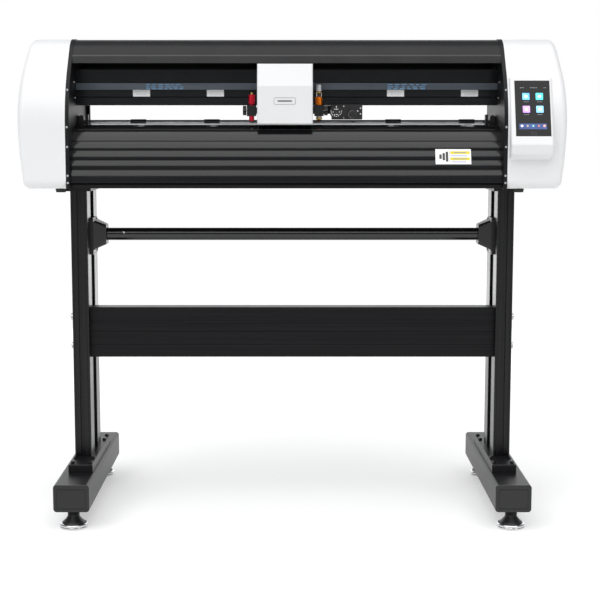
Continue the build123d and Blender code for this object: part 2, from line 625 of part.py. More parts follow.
def slot_end_blocks():
    """Small dark guides on the platen at both ends of the media slot: a domed stop and a post."""
    blocks = []
    for wall, side in ((INNER_LEFT, 1), (INNER_RIGHT, -1)):
        base = block(sorted((wall, wall + side * 21)), (-8, 8), (PLATEN_Z, PLATEN_Z + 6))
        dome = bar_y(5.5, wall + side * 6, (-8, 8), PLATEN_Z + 12)
        neck = block(sorted((wall + side * 0.5, wall + side * 11.5)), (-8, 8), (PLATEN_Z, PLATEN_Z + 12))
        post = block(sorted((wall + side * 15, wall + side * 21)), (-4, 8), (PLATEN_Z, PLATEN_Z + 19))
        blocks.append(base + dome + neck + post)
    return Compound(children=blocks)


def feed_pulley():
    """The large toothed pulley on the feed shaft."""
    blank = toothed_pulley(FEED_PULLEY_RADIUS, 10, GRIT_SHAFT_RADIUS, 60, FEED_PULLEY_RADIUS + 2.5)
    return Pos(FEED_PULLEY_X, GRIT_Y, GRIT_Z) * Rot(0, 90, 0) * blank


def feed_motor_pulley():
    """The small toothed pulley and shaft of the feed motor."""
    blank = toothed_pulley(FEED_MOTOR_PULLEY_RADIUS, 10, 3.0, 20, FEED_MOTOR_PULLEY_RADIUS + 2.5)
    pulley = Pos(FEED_PULLEY_X, GRIT_Y, FEED_MOTOR_Z) * Rot(0, 90, 0) * blank
    return pulley + bar_x(4, (FEED_BELT_X[0] - 2, FEED_MOTOR_FACE + 8), GRIT_Y, FEED_MOTOR_Z)


def feed_belt():
    """The toothed belt from the feed motor up to the feed shaft."""
    loop = belt_loop((GRIT_Y, GRIT_Z), (GRIT_Y, FEED_MOTOR_Z), FEED_PULLEY_RADIUS + 0.3,
                     FEED_MOTOR_PULLEY_RADIUS + 0.3, FEED_BELT_X[1] - FEED_BELT_X[0], BELT_THICKNESS)
    return Pos(FEED_BELT_X[0], 0, 0) * Plane.YZ.location * loop


def feed_motor():
    """The larger square stepper motor that turns the feed shaft."""
    half = FEED_MOTOR_HALF
    motor = block((FEED_MOTOR_FACE, FEED_MOTOR_FACE + 56), (GRIT_Y - half, GRIT_Y + half),
                  (FEED_MOTOR_Z - half, FEED_MOTOR_Z + half))
    motor = chamfer(motor.edges().filter_by(Axis.X), 4)
    return motor - bar_x(4 + RUNNING, (FEED_MOTOR_FACE - 1, FEED_MOTOR_FACE + 10), GRIT_Y, FEED_MOTOR_Z)


def feed_motor_bracket():
    """The plate in front of the feed motor and the four posts that tie it to the side plate."""
    half = FEED_MOTOR_HALF
    plate = block((FEED_MOTOR_FACE - 4, FEED_MOTOR_FACE), (GRIT_Y - half, GRIT_Y + half),
                  (FEED_MOTOR_Z - half, FEED_MOTOR_Z + half))
    plate -= bar_x(12, (FEED_MOTOR_FACE - 5, FEED_MOTOR_FACE + 1), GRIT_Y, FEED_MOTOR_Z)
    for y in (GRIT_Y - 23.5, GRIT_Y + 23.5):
        for z in (FEED_MOTOR_Z - 23.5, FEED_MOTOR_Z + 10):
            plate += bar_x(4, (OUTER_RIGHT, FEED_MOTOR_FACE - 4), y, z)
    return plate


def drive_brackets():
    """The idler's yoke and both motor brackets."""
    return Compound(children=[idler_bracket(), carriage_motor_bracket(), feed_motor_bracket()])


# ---- pinch rollers ---------------------------------------------------------------------------
def lift_shaft():
    """The rod through both side plates that swings all four pinch arms together."""
    return bar_x(LIFT_RADIUS, (OUTER_LEFT - 4, OUTER_RIGHT + 4), LIFT_Y, LIFT_Z)


def pinch_arm(x):
    """One forked arm, from its hub on the lift shaft to the cheeks either side of its roller."""
    hub = bar_x(LIFT_RADIUS + 2.5, (x - 10, x + 10), LIFT_Y, LIFT_Z)
    turn = Pos(x, LIFT_Y, LIFT_Z) * Rot(RAISED_ANGLE, 0, 0)
    arm = turn * Pos(0, ARM_LENGTH / 2 - 4, 0) * Box(12, ARM_LENGTH - 20, 7)
    yoke = turn * Pos(0, ARM_LENGTH - 13, 0) * Box(26, 5, 8)
    cheeks = []
    for side in SIDES:
        cheek = turn * Pos(side * 11.4, ARM_LENGTH - 5, 0) * Box(3, 14, 8)
        nose = bar_x(4.5, (x + side * 11.4 - 1.5, x + side * 11.4 + 1.5), ROLLER_Y, ROLLER_Z)
        cheeks.append(cheek + nose)
    body = hub + arm + yoke + cheeks[0] + cheeks[1]
    body -= bar_x(PIN_RADIUS + RUNNING, (x - 20, x + 20), ROLLER_Y, ROLLER_Z)
    return body - bar_x(LIFT_RADIUS, (x - 20, x + 20), LIFT_Y, LIFT_Z)


def pinch_arms():
    """The four pinch arms."""
    return Compound(children=[pinch_arm(x) for x in STATIONS])


def pinch_roller(x):
    """One rubber-faced pinch roller on its pin."""
    return bar_x(ROLLER_RADIUS, (x - 9, x + 9), ROLLER_Y, ROLLER_Z) + bar_x(
        PIN_RADIUS, (x - 12.9, x + 12.9), ROLLER_Y, ROLLER_Z)


def lift_lever():
    """The lever that pokes out of the rear to lower the pinch rollers."""
    hub = bar_x(LIFT_RADIUS + 2.5, (LEVER_X - 5, LEVER_X + 5), LIFT_Y, LIFT_Z)
    turn = Pos(LEVER_X, LIFT_Y, LIFT_Z) * Rot(4, 0, 0)
    arm = turn * Pos(0, 28, 0) * Box(5, 46, 8)
    grip = turn * Pos(0, 58, 0) * Box(12, 30, 10)
    grip = fillet(grip.edges(), 3)
    return hub + arm + grip - bar_x(LIFT_RADIUS, (LEVER_X - 9, LEVER_X + 9), LIFT_Y, LIFT_Z)


# ---- carriage ----------------------------------------------------------------------------------
def carriage_block():
    """The bearing block that grips the rail, with its belt clamp reaching over the beam."""
    rail_middle = (RAIL_LOW + RAIL_HIGH) / 2
    body = block((-62, 31), (-36.3, BEAM_FRONT - 1), (rail_middle - 12, rail_middle + 12))
    body -= block((-70, 40), (RAIL_FRONT - 0.3, 0), (RAIL_LOW - 0.3, RAIL_HIGH + 0.3))
    clamp = block((-30, 0), (-36.3, -31), (rail_middle + 12, BELT_Z - 4.5))
    clamp += block((-30, 0), (-36.3, BELT_Y + 5), (BELT_Z - 4.8, BELT_Z - 1.5))
    return body + clamp


def carriage_plate():
    """The plate with its camera arm and the two guide rods, each held by a lug at both ends."""
    plate = block((-72, 41), (-42, -36.3), (847, 962)) + block((40, 150), (-42, -37.5), (862, 880))
    for x, y in (LEFT_GUIDE, RIGHT_GUIDE):
        plate += bar_z(GUIDE_RADIUS, x, y, (847, 906))
        for low in (847, 901):
            plate += block((x - 7, x + 7), (y - 5, -42), (low, low + 5))
    return plate


def carriage_cover():
    """The white moulded cover over the carriage: upright below, leaning back above its crease."""
    outline = polygon((COVER_Y[1], COVER_Z[0]), (COVER_Y[0], COVER_Z[0]), (COVER_Y[0], COVER_CREASE),
                      (-85, COVER_Z[1]), (COVER_Y[1], COVER_Z[1]))
    shell = run_x(outline, CARRIAGE_X)
    front = [e for e in shell.edges() if e.center().Y < -78 and abs(e.center().Z - COVER_CREASE) > 1]
    shell = fillet(front, 3.5)
    wall = 2.0
    inner = polygon((COVER_Y[1] + 1, COVER_Z[0] - 1), (COVER_Y[0] + wall, COVER_Z[0] - 1),
                    (COVER_Y[0] + wall, COVER_CREASE), (-85 + wall, COVER_Z[1] - wall),
                    (COVER_Y[1] + 1, COVER_Z[1] - wall))
    return shell - run_x(inner, (CARRIAGE_X[0] + wall, CARRIAGE_X[1] - wall))


def tool_solenoids():
    """The two coils under the cover that press the tools down."""
    coils = [block((x, x + 22), (-72, -42), (924, 950)) for x in (-66, 12)]
    return Compound(children=coils)


def tool_slide(side, holder, guide):
    """A tool clamp and the arm that joins it to its guide rod."""
    x, y = holder
    guide_x, guide_y = guide
    clamp = block((x - 10, x + 10), (y - 10, -46), (857, 880))
    clamp = fillet(clamp.edges().filter_by(Axis.Z), 2)
    clamp -= bar_z(5.7, x, y, (856, 881))
    near, far = sorted((x - side * 8, guide_x))
    arm = block((near, far), (-53.3, -46), (862, 876))
    hub = block((guide_x - 6, guide_x + 6), (-53.3, -43), (860, 878))
    return clamp + arm + hub - bar_z(GUIDE_RADIUS + RUNNING, guide_x, guide_y, (850, 890))


def left_holder():
    """The left blade holder: collar above its clamp, body through it."""
    x, y = LEFT_TOOL
    collar = bar_z(7.5, x, y, (880.2, 903))
    collar = chamfer([e for e in collar.edges() if e.center().Z > 902], 1.2)
    for z in (886, 892, 898):
        collar -= Pos(x, y, z) * (Cylinder(8, 0.8) - Cylinder(7, 0.8))
    cap = bar_z(3, x, y, (903, 907))
    tip = Pos(x, y, 844.5) * Cone(1.5, 4, 3)
    return collar + cap + bar_z(5.7, x, y, (846, 880.2)) + tip


def right_holder():
    """The right holder: knurled knob, open spring cage, collar, body and brass nose ring."""
    x, y = RIGHT_TOOL
    knob = bar_z(8, x, y, (909, 924))
    knob = chamfer([e for e in knob.edges() if e.center().Z > 923], 1)
    cage = bar_z(2, x, y, (898, 909))
    for step in (-5, 5):
        cage += bar_z(1.0, x + step, y, (897, 910))
    collar = bar_z(8, x, y, (880.2, 898))
    for z in (885, 889, 893):
        collar -= Pos(x, y, z) * (Cylinder(9, 0.8) - Cylinder(7.5, 0.8))
    nose = bar_z(6.8, x, y, (850, 855))
    tip = Pos(x, y, 848) * Cone(1.5, 4, 4)
    return knob + cage + collar + bar_z(5.7, x, y, (850, 880.2)) + nose + tip


def tool_knob(side, holder):
    """A lobed clamping knob on a short screw, standing out of a tool clamp's side."""
    x, y = holder
    start, end = x + side * 10.8, x + side * 19
    star = Circle(9)
    for index in range(6):
        step_x, step_y = corner(60 * index, 9)
        star += Pos(step_x, step_y) * Circle(3)
    low, high = sorted((start, end))
    knob = Pos(0, y, 869) * run_x(star, (low, high))
    return knob + bar_x(2, sorted((x + side * 10.3, start)), y, 869)


def camera_module():
    """The mark-reading camera: a boxed body, a round light disc and a stubby second barrel."""
    body = block((84, 150), (-58, -42), (850, 882))
    body = fillet(body.edges().filter_by(Axis.Y), 2)
    disc = bar_y(14, 94, (-66, -58), 866)
    barrel = bar_y(8, 128, (-72, -58), 861)
    bridge = block((104, 118), (-63, -58), (856, 876))
    return body + disc + barrel + bridge


# ---- electronics ------------------------------------------------------------------------------
def touch_screen():
    """The glass touch panel set flush in the console, with its display and board behind it."""
    plane = screen_plane(GLASS_START + GLASS_HEIGHT / 2)
    glass = extrude(plane * RectangleRounded(GLASS_WIDTH, GLASS_HEIGHT, 1.5), amount=-2.5)
    display = extrude(plane.offset(-2.5) * Rectangle(GLASS_WIDTH - 4, GLASS_HEIGHT - 6), amount=-8)
    return glass + display


def control_board():
    """The control circuit board on standoffs beside the right side plate."""
    board = block((456, 457.6), (-112, -22), (790, 880))
    for y, z, width, height, depth in ((-95, 805, 20, 20, 3), (-60, 860, 30, 14, 12), (-45, 810, 16, 24, 8),
                                       (-92, 850, 14, 14, 10)):
        board += block((457.6, 457.6 + depth), (y, y + width), (z - height / 2, z + height / 2))
    for y in (-107, -27):
        for z in (795, 875):
            board += bar_x(3, (OUTER_RIGHT, 456), y, z)
    return board


def power_supply():
    """The caged power supply on the floor of the right cover."""
    cage = block((454, 548), (-118, -22), (HEAD_BASE + COVER_WALL, 740))
    return chamfer(cage.edges().filter_by(Axis.Z), 1)


def power_inlet():
    """The three-pin mains inlet at the rear of the right cover."""
    body = block((INLET_X - 13.9, INLET_X + 13.9), (HEAD_REAR - 18, HEAD_REAR), (INLET_Z - 9.9, INLET_Z + 9.9))
    body -= block((INLET_X - 11.5, INLET_X + 11.5), (HEAD_REAR - 14, HEAD_REAR + 1),
                  (INLET_Z - 7.5, INLET_Z + 7.5))
    for x, z in ((-6, -2), (6, -2), (0, 3)):
        body += block((INLET_X + x - 1.2, INLET_X + x + 1.2), (HEAD_REAR - 15, HEAD_REAR - 2),
                      (INLET_Z + z - 2, INLET_Z + z + 2))
    return body


def power_rocker():
    """The see-saw power switch with its pivot bore, pressed in at one end."""
    face = polygon((-10.3, 3.6), (0, 2.2), (10.3, 3.6), (10.3, -2.5), (0, -4), (-10.3, -2.5))
    rocker = Pos(INLET_X, HEAD_REAR - 4, ROCKER_Z - 6.7) * Rot(0, 0, -ROCKER_TILT) * extrude(face, amount=13.4)
    return rocker - bar_z(1.2, INLET_X, HEAD_REAR - 4, (ROCKER_Z - 8, ROCKER_Z + 8))


def data_socket():
    """The data socket at the rear of the right cover."""
    body = block((USB_X - 5.9, USB_X + 5.9), (HEAD_REAR - 16, HEAD_REAR), (INLET_Z - 5.9, INLET_Z + 5.9))
    return body - block((USB_X - 4.2, USB_X + 4.2), (HEAD_REAR - 10, HEAD_REAR + 1), (INLET_Z - 3.8, INLET_Z + 3.8))


def rear_sockets():
    """The mains inlet and the data socket."""
    return Compound(children=[power_inlet(), data_socket()])


# ---- small hardware ----------------------------------------------------------------------------
def rubber_feet():
    """The bumpers under the end covers, left from the head's use on a table."""
    feet = []
    for x in (-489, 478):
        for y in (-118, 104):
            foot = Pos(x, y, HEAD_BASE - 3.75) * Cone(10, 11.5, 7.5)
            feet.append(foot)
    return Compound(children=feet)


def case_screws():
    """Small dome-headed screws: side plates' front edges, beam ends and media bar brackets."""
    screws = []
    plate_face = LEG_X - LEG_WIDTH / 2 - 6
    for y, z in ((-28, 31), (28, 31), (-28, -36), (28, -36)):
        screw = bar_x(3.4, (plate_face - 2.4, plate_face), y, ROLL_Z + z) + bar_x(
            2.0, (plate_face, plate_face + 10), y, ROLL_Z + z)
        screws += [screw, mirrored(screw)]
    for x in ((INNER_LEFT + OUTER_LEFT) / 2, (INNER_RIGHT + OUTER_RIGHT) / 2):
        for z in (718, 733, 793, 834):
            screws.append(bar_y(2.3, x, (HEAD_FRONT - 1.2, HEAD_FRONT + 6), z))
        screws.append(bar_y(2.3, x, (-128.5, -116), 911))
    for x in ((INNER_LEFT, INNER_LEFT + 1.5), (INNER_RIGHT - 1.5, INNER_RIGHT)):
        for y, z in ((-60, 929), (-49, 896)):
            screws.append(bar_x(2.4, x, y, z))
    return Compound(children=screws)


# ---- export ------------------------------------------------------------------------------------
def all_nodes():
    """Every node's name with its shape."""
    nodes = {
        "foot_tubes": foot_tubes(),
        "foot_end_caps": foot_end_caps(),
        "leg_plates": leg_plates(),
        "legs": legs(),
        "stand_bolts": stand_bolts(),
        "crossbar": crossbar(),
        "roll_bar": roll_bar(),
        "bar_brackets": bar_brackets(),
        "side_plates": side_plates(),
        "left_end_cover": left_end_cover(),
        "right_end_cover": right_end_cover(),
        "top_cover": top_cover(),
        "front_apron": front_apron(),
        "rear_apron": rear_apron(),
        "bottom_tray": bottom_tray(),
        "labels": labels(),
        "beam": beam(),
        "linear_rail": linear_rail(),
        "carriage_belt": carriage_belt(),
        "idler_pulley": idler_pulley(),
        "drive_pulley": drive_pulley(),
        "carriage_motor": carriage_motor(),
        "drive_brackets": drive_brackets(),
        "grit_shaft": grit_shaft(),
        "grit_sleeves": grit_sleeves(),
        "shaft_bearings": shaft_bearings(),
        "slot_end_blocks": slot_end_blocks(),
        "feed_pulley": feed_pulley(),
        "feed_motor_pulley": feed_motor_pulley(),
        "feed_belt": feed_belt(),
        "feed_motor": feed_motor(),
        "lift_shaft": lift_shaft(),
        "pinch_arms": pinch_arms(),
        "lift_lever": lift_lever(),
        "carriage_block": carriage_block(),
        "carriage_plate": carriage_plate(),
        "carriage_cover": carriage_cover(),
        "tool_solenoids": tool_solenoids(),
        "camera_module": camera_module(),
        "touch_screen": touch_screen(),
        "control_board": control_board(),
        "power_supply": power_supply(),
        "rear_sockets": rear_sockets(),
        "power_rocker": power_rocker(),
        "rubber_feet": rubber_feet(),
        "case_screws": case_screws(),
        "left_tool_slide": tool_slide(-1, LEFT_TOOL, LEFT_GUIDE),
        "right_tool_slide": tool_slide(1, RIGHT_TOOL, RIGHT_GUIDE),
        "left_tool_holder": left_holder(),
        "right_tool_holder": right_holder(),
        "left_tool_knob": tool_knob(-1, LEFT_TOOL),
        "right_tool_knob": tool_knob(1, RIGHT_TOOL),
    }
    for number, x in enumerate(STATIONS, start=1):
        nodes[f"pinch_roller_{number}"] = pinch_roller(x)
    for side, side_name in ((-1, "left"), (1, "right")):
        for y, end_name in ((-LEVELLER_Y, "front"), (LEVELLER_Y, "rear")):
            nodes[f"{end_name}_{side_name}_leveller"] = leveller(side, y)
    return nodes


os.makedirs("parts", exist_ok=True)
for node_name, node_shape in all_nodes().items():
    export_step(node_shape, f"parts/{node_name}.step")
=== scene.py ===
import math
import random

import bmesh
import bpy
from mathutils import Matrix, Vector


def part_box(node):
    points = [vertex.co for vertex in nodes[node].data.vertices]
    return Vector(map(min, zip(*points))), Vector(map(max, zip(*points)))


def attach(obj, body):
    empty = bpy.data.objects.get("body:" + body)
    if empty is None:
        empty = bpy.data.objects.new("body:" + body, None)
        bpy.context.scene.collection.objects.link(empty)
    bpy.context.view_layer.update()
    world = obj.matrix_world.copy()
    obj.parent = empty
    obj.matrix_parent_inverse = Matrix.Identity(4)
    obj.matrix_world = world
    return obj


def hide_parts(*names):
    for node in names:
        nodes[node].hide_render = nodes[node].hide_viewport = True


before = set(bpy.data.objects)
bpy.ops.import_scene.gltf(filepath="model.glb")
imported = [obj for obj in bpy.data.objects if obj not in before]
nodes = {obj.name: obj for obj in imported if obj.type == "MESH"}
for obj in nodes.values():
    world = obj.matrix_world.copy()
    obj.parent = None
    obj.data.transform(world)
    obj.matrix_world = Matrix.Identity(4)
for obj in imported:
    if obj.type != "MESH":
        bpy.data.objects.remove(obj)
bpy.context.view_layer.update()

# The looks of a floor-standing vinyl cutter, in metres and in the frame of its CAD: X runs to the right,
# Y to the rear and Z up, with the origin on the floor. Places come from the boxes of the CAD nodes.

random.seed(7)

# ---- sizes -----------------------------------------------------------------------------------
NOISE_RANGE = (0.3, 0.7)      # where nearly all values of a noise texture lie

PRINT_LIFT = 0.00002          # gap between a surface and what is printed on it
PRINT_THICKNESS = 0.00006
# The top cover's lip is painted lighter than the rest of the cover: a painted highlight, not a different
# paint.
LIP_DEPTH = 0.0070            # the top cover's front lip, back from its front edge
LIP_DROP = 0.0340             # and down from the top of the cover

PAD_TOP = 0.0110              # levelling foot: chromed disc
PAD_FACE = 0.0108             # where the collar starts
COLLAR_RADIUS = 0.0245
STEM_RADIUS = 0.0125
STEM_HIGH = 0.0392
THREAD_ROOT = 0.0052
THREAD_CREST = 0.0059
THREAD_START = 0.0400
THREAD_PITCH = 0.0020
THREAD_TURNS = 18
STUD_TOP = 0.0772

PICTURE_LIFT = 0.00004        # the lit picture on the touch screen
PICTURE_THICKNESS = 0.00012
ICON_SIZE = 0.0148
GLYPH_SIZE = (0.0062, 0.0050)
CAPTION_DOT = (0.0018, 0.0009)
CAPTION_PITCH = 0.0026
CAPTION_DROP = 0.0118         # below the icon's centre
STATUS_DOT = (0.0020, 0.0011)
STATUS_PITCH = 0.0030
DOCK_HEIGHT = 0.0122
HOME_OUTER = (0.0110, 0.0050)
HOME_INNER = (0.0102, 0.0042)
STATUS_DOWN = 0.130           # places on the glass, as shares of its width and height
STATUS_RUNS = ((0.17, 3), (0.46, 5), (0.84, 2))   # how far across, and how many dots
DOCK_SPOT = (0.49, 0.825)
DOCK_MARKS_DOWN = 0.815
DOCK_MARKS_START = 0.175
DOCK_MARKS_STEP = 0.16
HOME_SPOT = (0.5, 0.945)
ICONS = {   # colour, then how far across and down the glass
    "blue": ((0.10, 0.36, 0.86), 0.316, 0.286), "teal": ((0.04, 0.62, 0.58), 0.70, 0.286),
    "violet": ((0.44, 0.22, 0.72), 0.316, 0.517), "sky": ((0.16, 0.44, 0.88), 0.70, 0.517),
}
DOCK_COLORS = [(0.85, 0.88, 0.92), (0.55, 0.42, 0.20), (0.25, 0.65, 0.55), (0.65, 0.18, 0.10),
               (0.85, 0.40, 0.30)]

STICKER_THICKNESS = 0.00035   # station stickers on the beam, each with three plain lines
STICKER_LINE = (0.0240, 0.0005)
STICKER_LINE_PITCH = 0.0030
APRON_STICKER_HEIGHT = 0.0340
APRON_PRINT = {   # colour, height above the sticker, then each bar's X, Y, width and height
    "yellow": ((0.80, 0.66, 0.015), 0.00010, [(0.0145, y, 0.041, 0.0062) for y in (0.0090, -0.0050)]),
    "lilac": ((0.56, 0.58, 0.76), 0.00010, [(0.0120, 0.0022, 0.034, 0.0032),
                                            (0.0120, -0.0115, 0.030, 0.0030)]),
    "grey": ((0.28, 0.28, 0.29), 0.00018, [(-0.0072, 0.0, 0.0007, 0.029), (0.0145, 0.0090, 0.026, 0.0018),
                                           (0.0145, -0.0050, 0.030, 0.0018)]),
    "dark": ((0.03, 0.03, 0.03), 0.00010, [(-0.0268 + 0.0068 * n, 0.0, 0.0052, 0.0105 + 0.006 * n)
                                           for n in range(3)]),
}
DASH_HEIGHT = 0.0016          # printed dashes on the rail
DASH_ROWS = (0.14, 0.42, 0.76)             # up the rail's height
DASH_RUNS = ((0.151, 0.226), (0.671, 0.756))   # from the rail's left end
BADGE_RISE = 0.0485           # badge's centre above the carriage cover's lower edge
BADGE_OUTER = (0.0460, 0.0145)
BADGE_INNER = (0.0446, 0.0131)
BADGE_BAR = (0.0310, 0.0034)

BLADE_BODY_RADIUS = 0.0056    # tool holders
BLADE_COLLAR_RADIUS = 0.0075
PEN_KNOB_RADIUS = 0.0066
PEN_COLLAR_RADIUS = 0.0078
KNOB_REACH = 0.0098           # clamp knobs: mean radius and height of the lobes
KNOB_LOBE = 0.0016
KNOB_LOBES = 6
KNOB_SHRINK = 0.92            # the bevelled ends of the grip
BEAD_RING = 0.0090            # radius of the ring of beads on its face

DISC_PLACE = Vector((0.014, 0.006, 0.016))     # mark camera: from its box's low corner
BARREL_PLACE = Vector((0.048, 0.0, 0.011))
SCREW_SPOTS = ((0.066, 0.012), (0.066, 0.024), (0.060, 0.018), (0.030, 0.028), (0.030, 0.004))
SCREW_PLACES = [Vector((x, 0.014, z)) for x, z in SCREW_SPOTS]
BARREL_RIBS = 5
LAMP_RADIUS = 0.0009
LAMP_ARC = 0.0112
LAMP_RING = 0.0066
BAR_SCREW_INSET = 0.060       # from the roll bar's left end
BAR_SCREW_TILT = 20           # degrees up from the front

FLOOR_SIZE = 40.0
CAMERA_PLACE = (0.0, -3.065, 0.839)
CAMERA_TILT = 82.82           # degrees up from straight down
CAMERA_LENS = 83.5
CAMERA_SHIFT = 0.0128


# ---- node helpers ----------------------------------------------------------------------------
def new_material(name, color, roughness, metallic=0.0):
    """A Principled material and its node tree."""
    material = bpy.data.materials.new(name)
    material.use_nodes = True
    shader = material.node_tree.nodes["Principled BSDF"]
    shader.inputs["Base Color"].default_value = (*color, 1)
    shader.inputs["Roughness"].default_value = roughness
    shader.inputs["Metallic"].default_value = metallic
    material.diffuse_color = (*color, 1)
    return material, material.node_tree, shader


def noise(tree, scale, stretch=(1, 1, 1), detail=3.0):
    """Noise in the object's own space, as a 0 to 1 value."""
    coord = tree.nodes.new("ShaderNodeTexCoord")
    mapping = tree.nodes.new("ShaderNodeMapping")
    mapping.inputs["Scale"].default_value = stretch
    texture = tree.nodes.new("ShaderNodeTexNoise")
    texture.inputs["Scale"].default_value = scale
    texture.inputs["Detail"].default_value = detail
    tree.links.new(coord.outputs["Object"], mapping.inputs["Vector"])
    tree.links.new(mapping.outputs["Vector"], texture.inputs["Vector"])
    return texture.outputs["Fac"]


def spread(tree, value, low, high):
    """A 0 to 1 value remapped to a low and a high number."""
    node = tree.nodes.new("ShaderNodeMapRange")
    node.inputs["From Min"].default_value = NOISE_RANGE[0]
    node.inputs["From Max"].default_value = NOISE_RANGE[1]
    node.inputs["To Min"].default_value = low
    node.inputs["To Max"].default_value = high
    tree.links.new(value, node.inputs["Value"])
    return node.outputs["Result"]


def tint(tree, value, first, second):
    """A colour between two, by a 0 to 1 value."""
    ramp = tree.nodes.new("ShaderNodeValToRGB")
    for element, place, color in zip(ramp.color_ramp.elements, NOISE_RANGE, (first, second)):
        element.position = place
        element.color = (*color, 1)
    tree.links.new(value, ramp.inputs["Fac"])
    return ramp.outputs["Color"]


def bump(tree, height, strength, distance, after=None):
    """A bump node; pass the last one as after to stack them."""
    node = tree.nodes.new("ShaderNodeBump")
    node.inputs["Strength"].default_value = strength
    node.inputs["Distance"].default_value = distance
    tree.links.new(height, node.inputs["Height"])
    if after is not None:
        tree.links.new(after, node.inputs["Normal"])
    return node.outputs["Normal"]


# ---- materials -------------------------------------------------------------------------------
def powder_coat(name, dark, light, roughness, grain=900.0, specular=0.36):
    """Powder-coated steel: orange-peel skin and a faint mottle."""
    material, tree, shader = new_material(name, dark, roughness)
    mottle = noise(tree, 14.0, detail=4.0)
    skin = noise(tree, grain, detail=2.0)
    speck = noise(tree, grain * 2.6, detail=1.0)
    tree.links.new(tint(tree, mottle, dark, light), shader.inputs["Base Color"])
    tree.links.new(spread(tree, skin, roughness - 0.06, roughness + 0.08), shader.inputs["Roughness"])
    shader.inputs["Specular IOR Level"].default_value = specular
    first = bump(tree, skin, 0.35, 0.00025)
    tree.links.new(bump(tree, speck, 0.2, 0.0001, first), shader.inputs["Normal"])
    return material


def drawn_metal(name, dark, light, roughness, metallic, along="X", coat=0.0, specular=0.38):
    """Extruded or ground metal: fine die lines along one axis over a soft cloudiness."""
    material, tree, shader = new_material(name, dark, roughness, metallic)
    stretch = {"X": (0.02, 1, 1), "Y": (1, 0.02, 1), "Z": (1, 1, 0.02)}[along]
    lines = noise(tree, 1600.0, stretch, 2.0)
    wide = noise(tree, 160.0, stretch, 3.0)
    cloud = noise(tree, 9.0, detail=3.0)
    tree.links.new(tint(tree, wide, dark, light), shader.inputs["Base Color"])
    mixed = tree.nodes.new("ShaderNodeMath")
    mixed.operation = "ADD"
    tree.links.new(spread(tree, lines, roughness - 0.05, roughness + 0.05), mixed.inputs[0])
    tree.links.new(spread(tree, cloud, -0.02, 0.03), mixed.inputs[1])
    tree.links.new(mixed.outputs["Value"], shader.inputs["Roughness"])
    first = bump(tree, lines, 0.12, 0.00006)
    tree.links.new(bump(tree, wide, 0.10, 0.0002, first), shader.inputs["Normal"])
    if not metallic:
        shader.inputs["Specular IOR Level"].default_value = specular
    if coat:
        shader.inputs["Coat Weight"].default_value = coat
        shader.inputs["Coat Roughness"].default_value = 0.08
    return material


def moulding(name, dark, light, roughness, grain=1500.0, depth=0.00008, specular=0.5):
    """Injection-moulded plastic or glass: fine grain and slow gloss changes."""
    material, tree, shader = new_material(name, dark, roughness)
    shader.inputs["Specular IOR Level"].default_value = specular
    grain_value = noise(tree, grain, detail=2.0)
    slow = noise(tree, 6.0, detail=2.0)
    tree.links.new(tint(tree, slow, dark, light), shader.inputs["Base Color"])
    tree.links.new(spread(tree, grain_value, roughness - 0.04, roughness + 0.05), shader.inputs["Roughness"])
    tree.links.new(bump(tree, grain_value, 0.25, depth), shader.inputs["Normal"])
    return material


def bright_metal(name, color, roughness):
    """Plated metal with handling haze and fine scratches."""
    dark = tuple(c * 0.82 for c in color)
    material, tree, shader = new_material(name, color, roughness, 1.0)
    haze = noise(tree, 45.0, detail=5.0)
    scratch = noise(tree, 900.0, (1, 1, 0.1), 2.0)
    tree.links.new(tint(tree, haze, dark, color), shader.inputs["Base Color"])
    tree.links.new(spread(tree, haze, roughness, roughness + 0.12), shader.inputs["Roughness"])
    tree.links.new(bump(tree, scratch, 0.08, 0.00005), shader.inputs["Normal"])
    return material


def rubbery(name, dark, light):
    """Matt rubber with a dusty bloom."""
    material, tree, shader = new_material(name, dark, 0.8)
    bloom = noise(tree, 60.0, detail=5.0)
    pores = noise(tree, 1800.0, detail=1.0)
    tree.links.new(tint(tree, bloom, dark, light), shader.inputs["Base Color"])
    tree.links.new(spread(tree, bloom, 0.7, 0.9), shader.inputs["Roughness"])
    tree.links.new(bump(tree, pores, 0.3, 0.0001), shader.inputs["Normal"])
    return material


def knurled(name, dark, light, count=900.0):
    """Knurled steel: crossed ridges with grit in them."""
    material, tree, shader = new_material(name, dark, 0.5, 1.0)
    coord = tree.nodes.new("ShaderNodeTexCoord")
    heights = []
    for turn in (0.7, -0.7):
        mapping = tree.nodes.new("ShaderNodeMapping")
        mapping.inputs["Rotation"].default_value = (0, 0, turn)
        wave = tree.nodes.new("ShaderNodeTexWave")
        wave.inputs["Scale"].default_value = count
        tree.links.new(coord.outputs["Object"], mapping.inputs["Vector"])
        tree.links.new(mapping.outputs["Vector"], wave.inputs["Vector"])
        heights.append(wave.outputs["Fac"])
    joined = tree.nodes.new("ShaderNodeMath")
    joined.operation = "MULTIPLY"
    tree.links.new(heights[0], joined.inputs[0])
    tree.links.new(heights[1], joined.inputs[1])
    tree.links.new(tint(tree, noise(tree, 700.0), dark, light), shader.inputs["Base Color"])
    tree.links.new(bump(tree, joined.outputs["Value"], 0.5, 0.0004), shader.inputs["Normal"])
    return material


def lit(name, color, strength, second=None):
    """A plain colour that drifts a little towards a second; a strength above 0 makes it glow."""
    material, tree, shader = new_material(name, color, 0.25)
    drift = noise(tree, 40.0, detail=1.0)
    shaded = tint(tree, drift, color, second or tuple(c * 0.85 for c in color))
    tree.links.new(shaded, shader.inputs["Emission Color"])
    tree.links.new(shaded, shader.inputs["Base Color"])
    shader.inputs["Emission Strength"].default_value = strength
    return material


DEEP_BLACK = ((0.003, 0.003, 0.004), (0.007, 0.007, 0.008))
COAT_BLACK = ((0.005, 0.005, 0.006), (0.009, 0.009, 0.010))
SHEET_BLACK = ((0.007, 0.007, 0.008), (0.011, 0.011, 0.012))

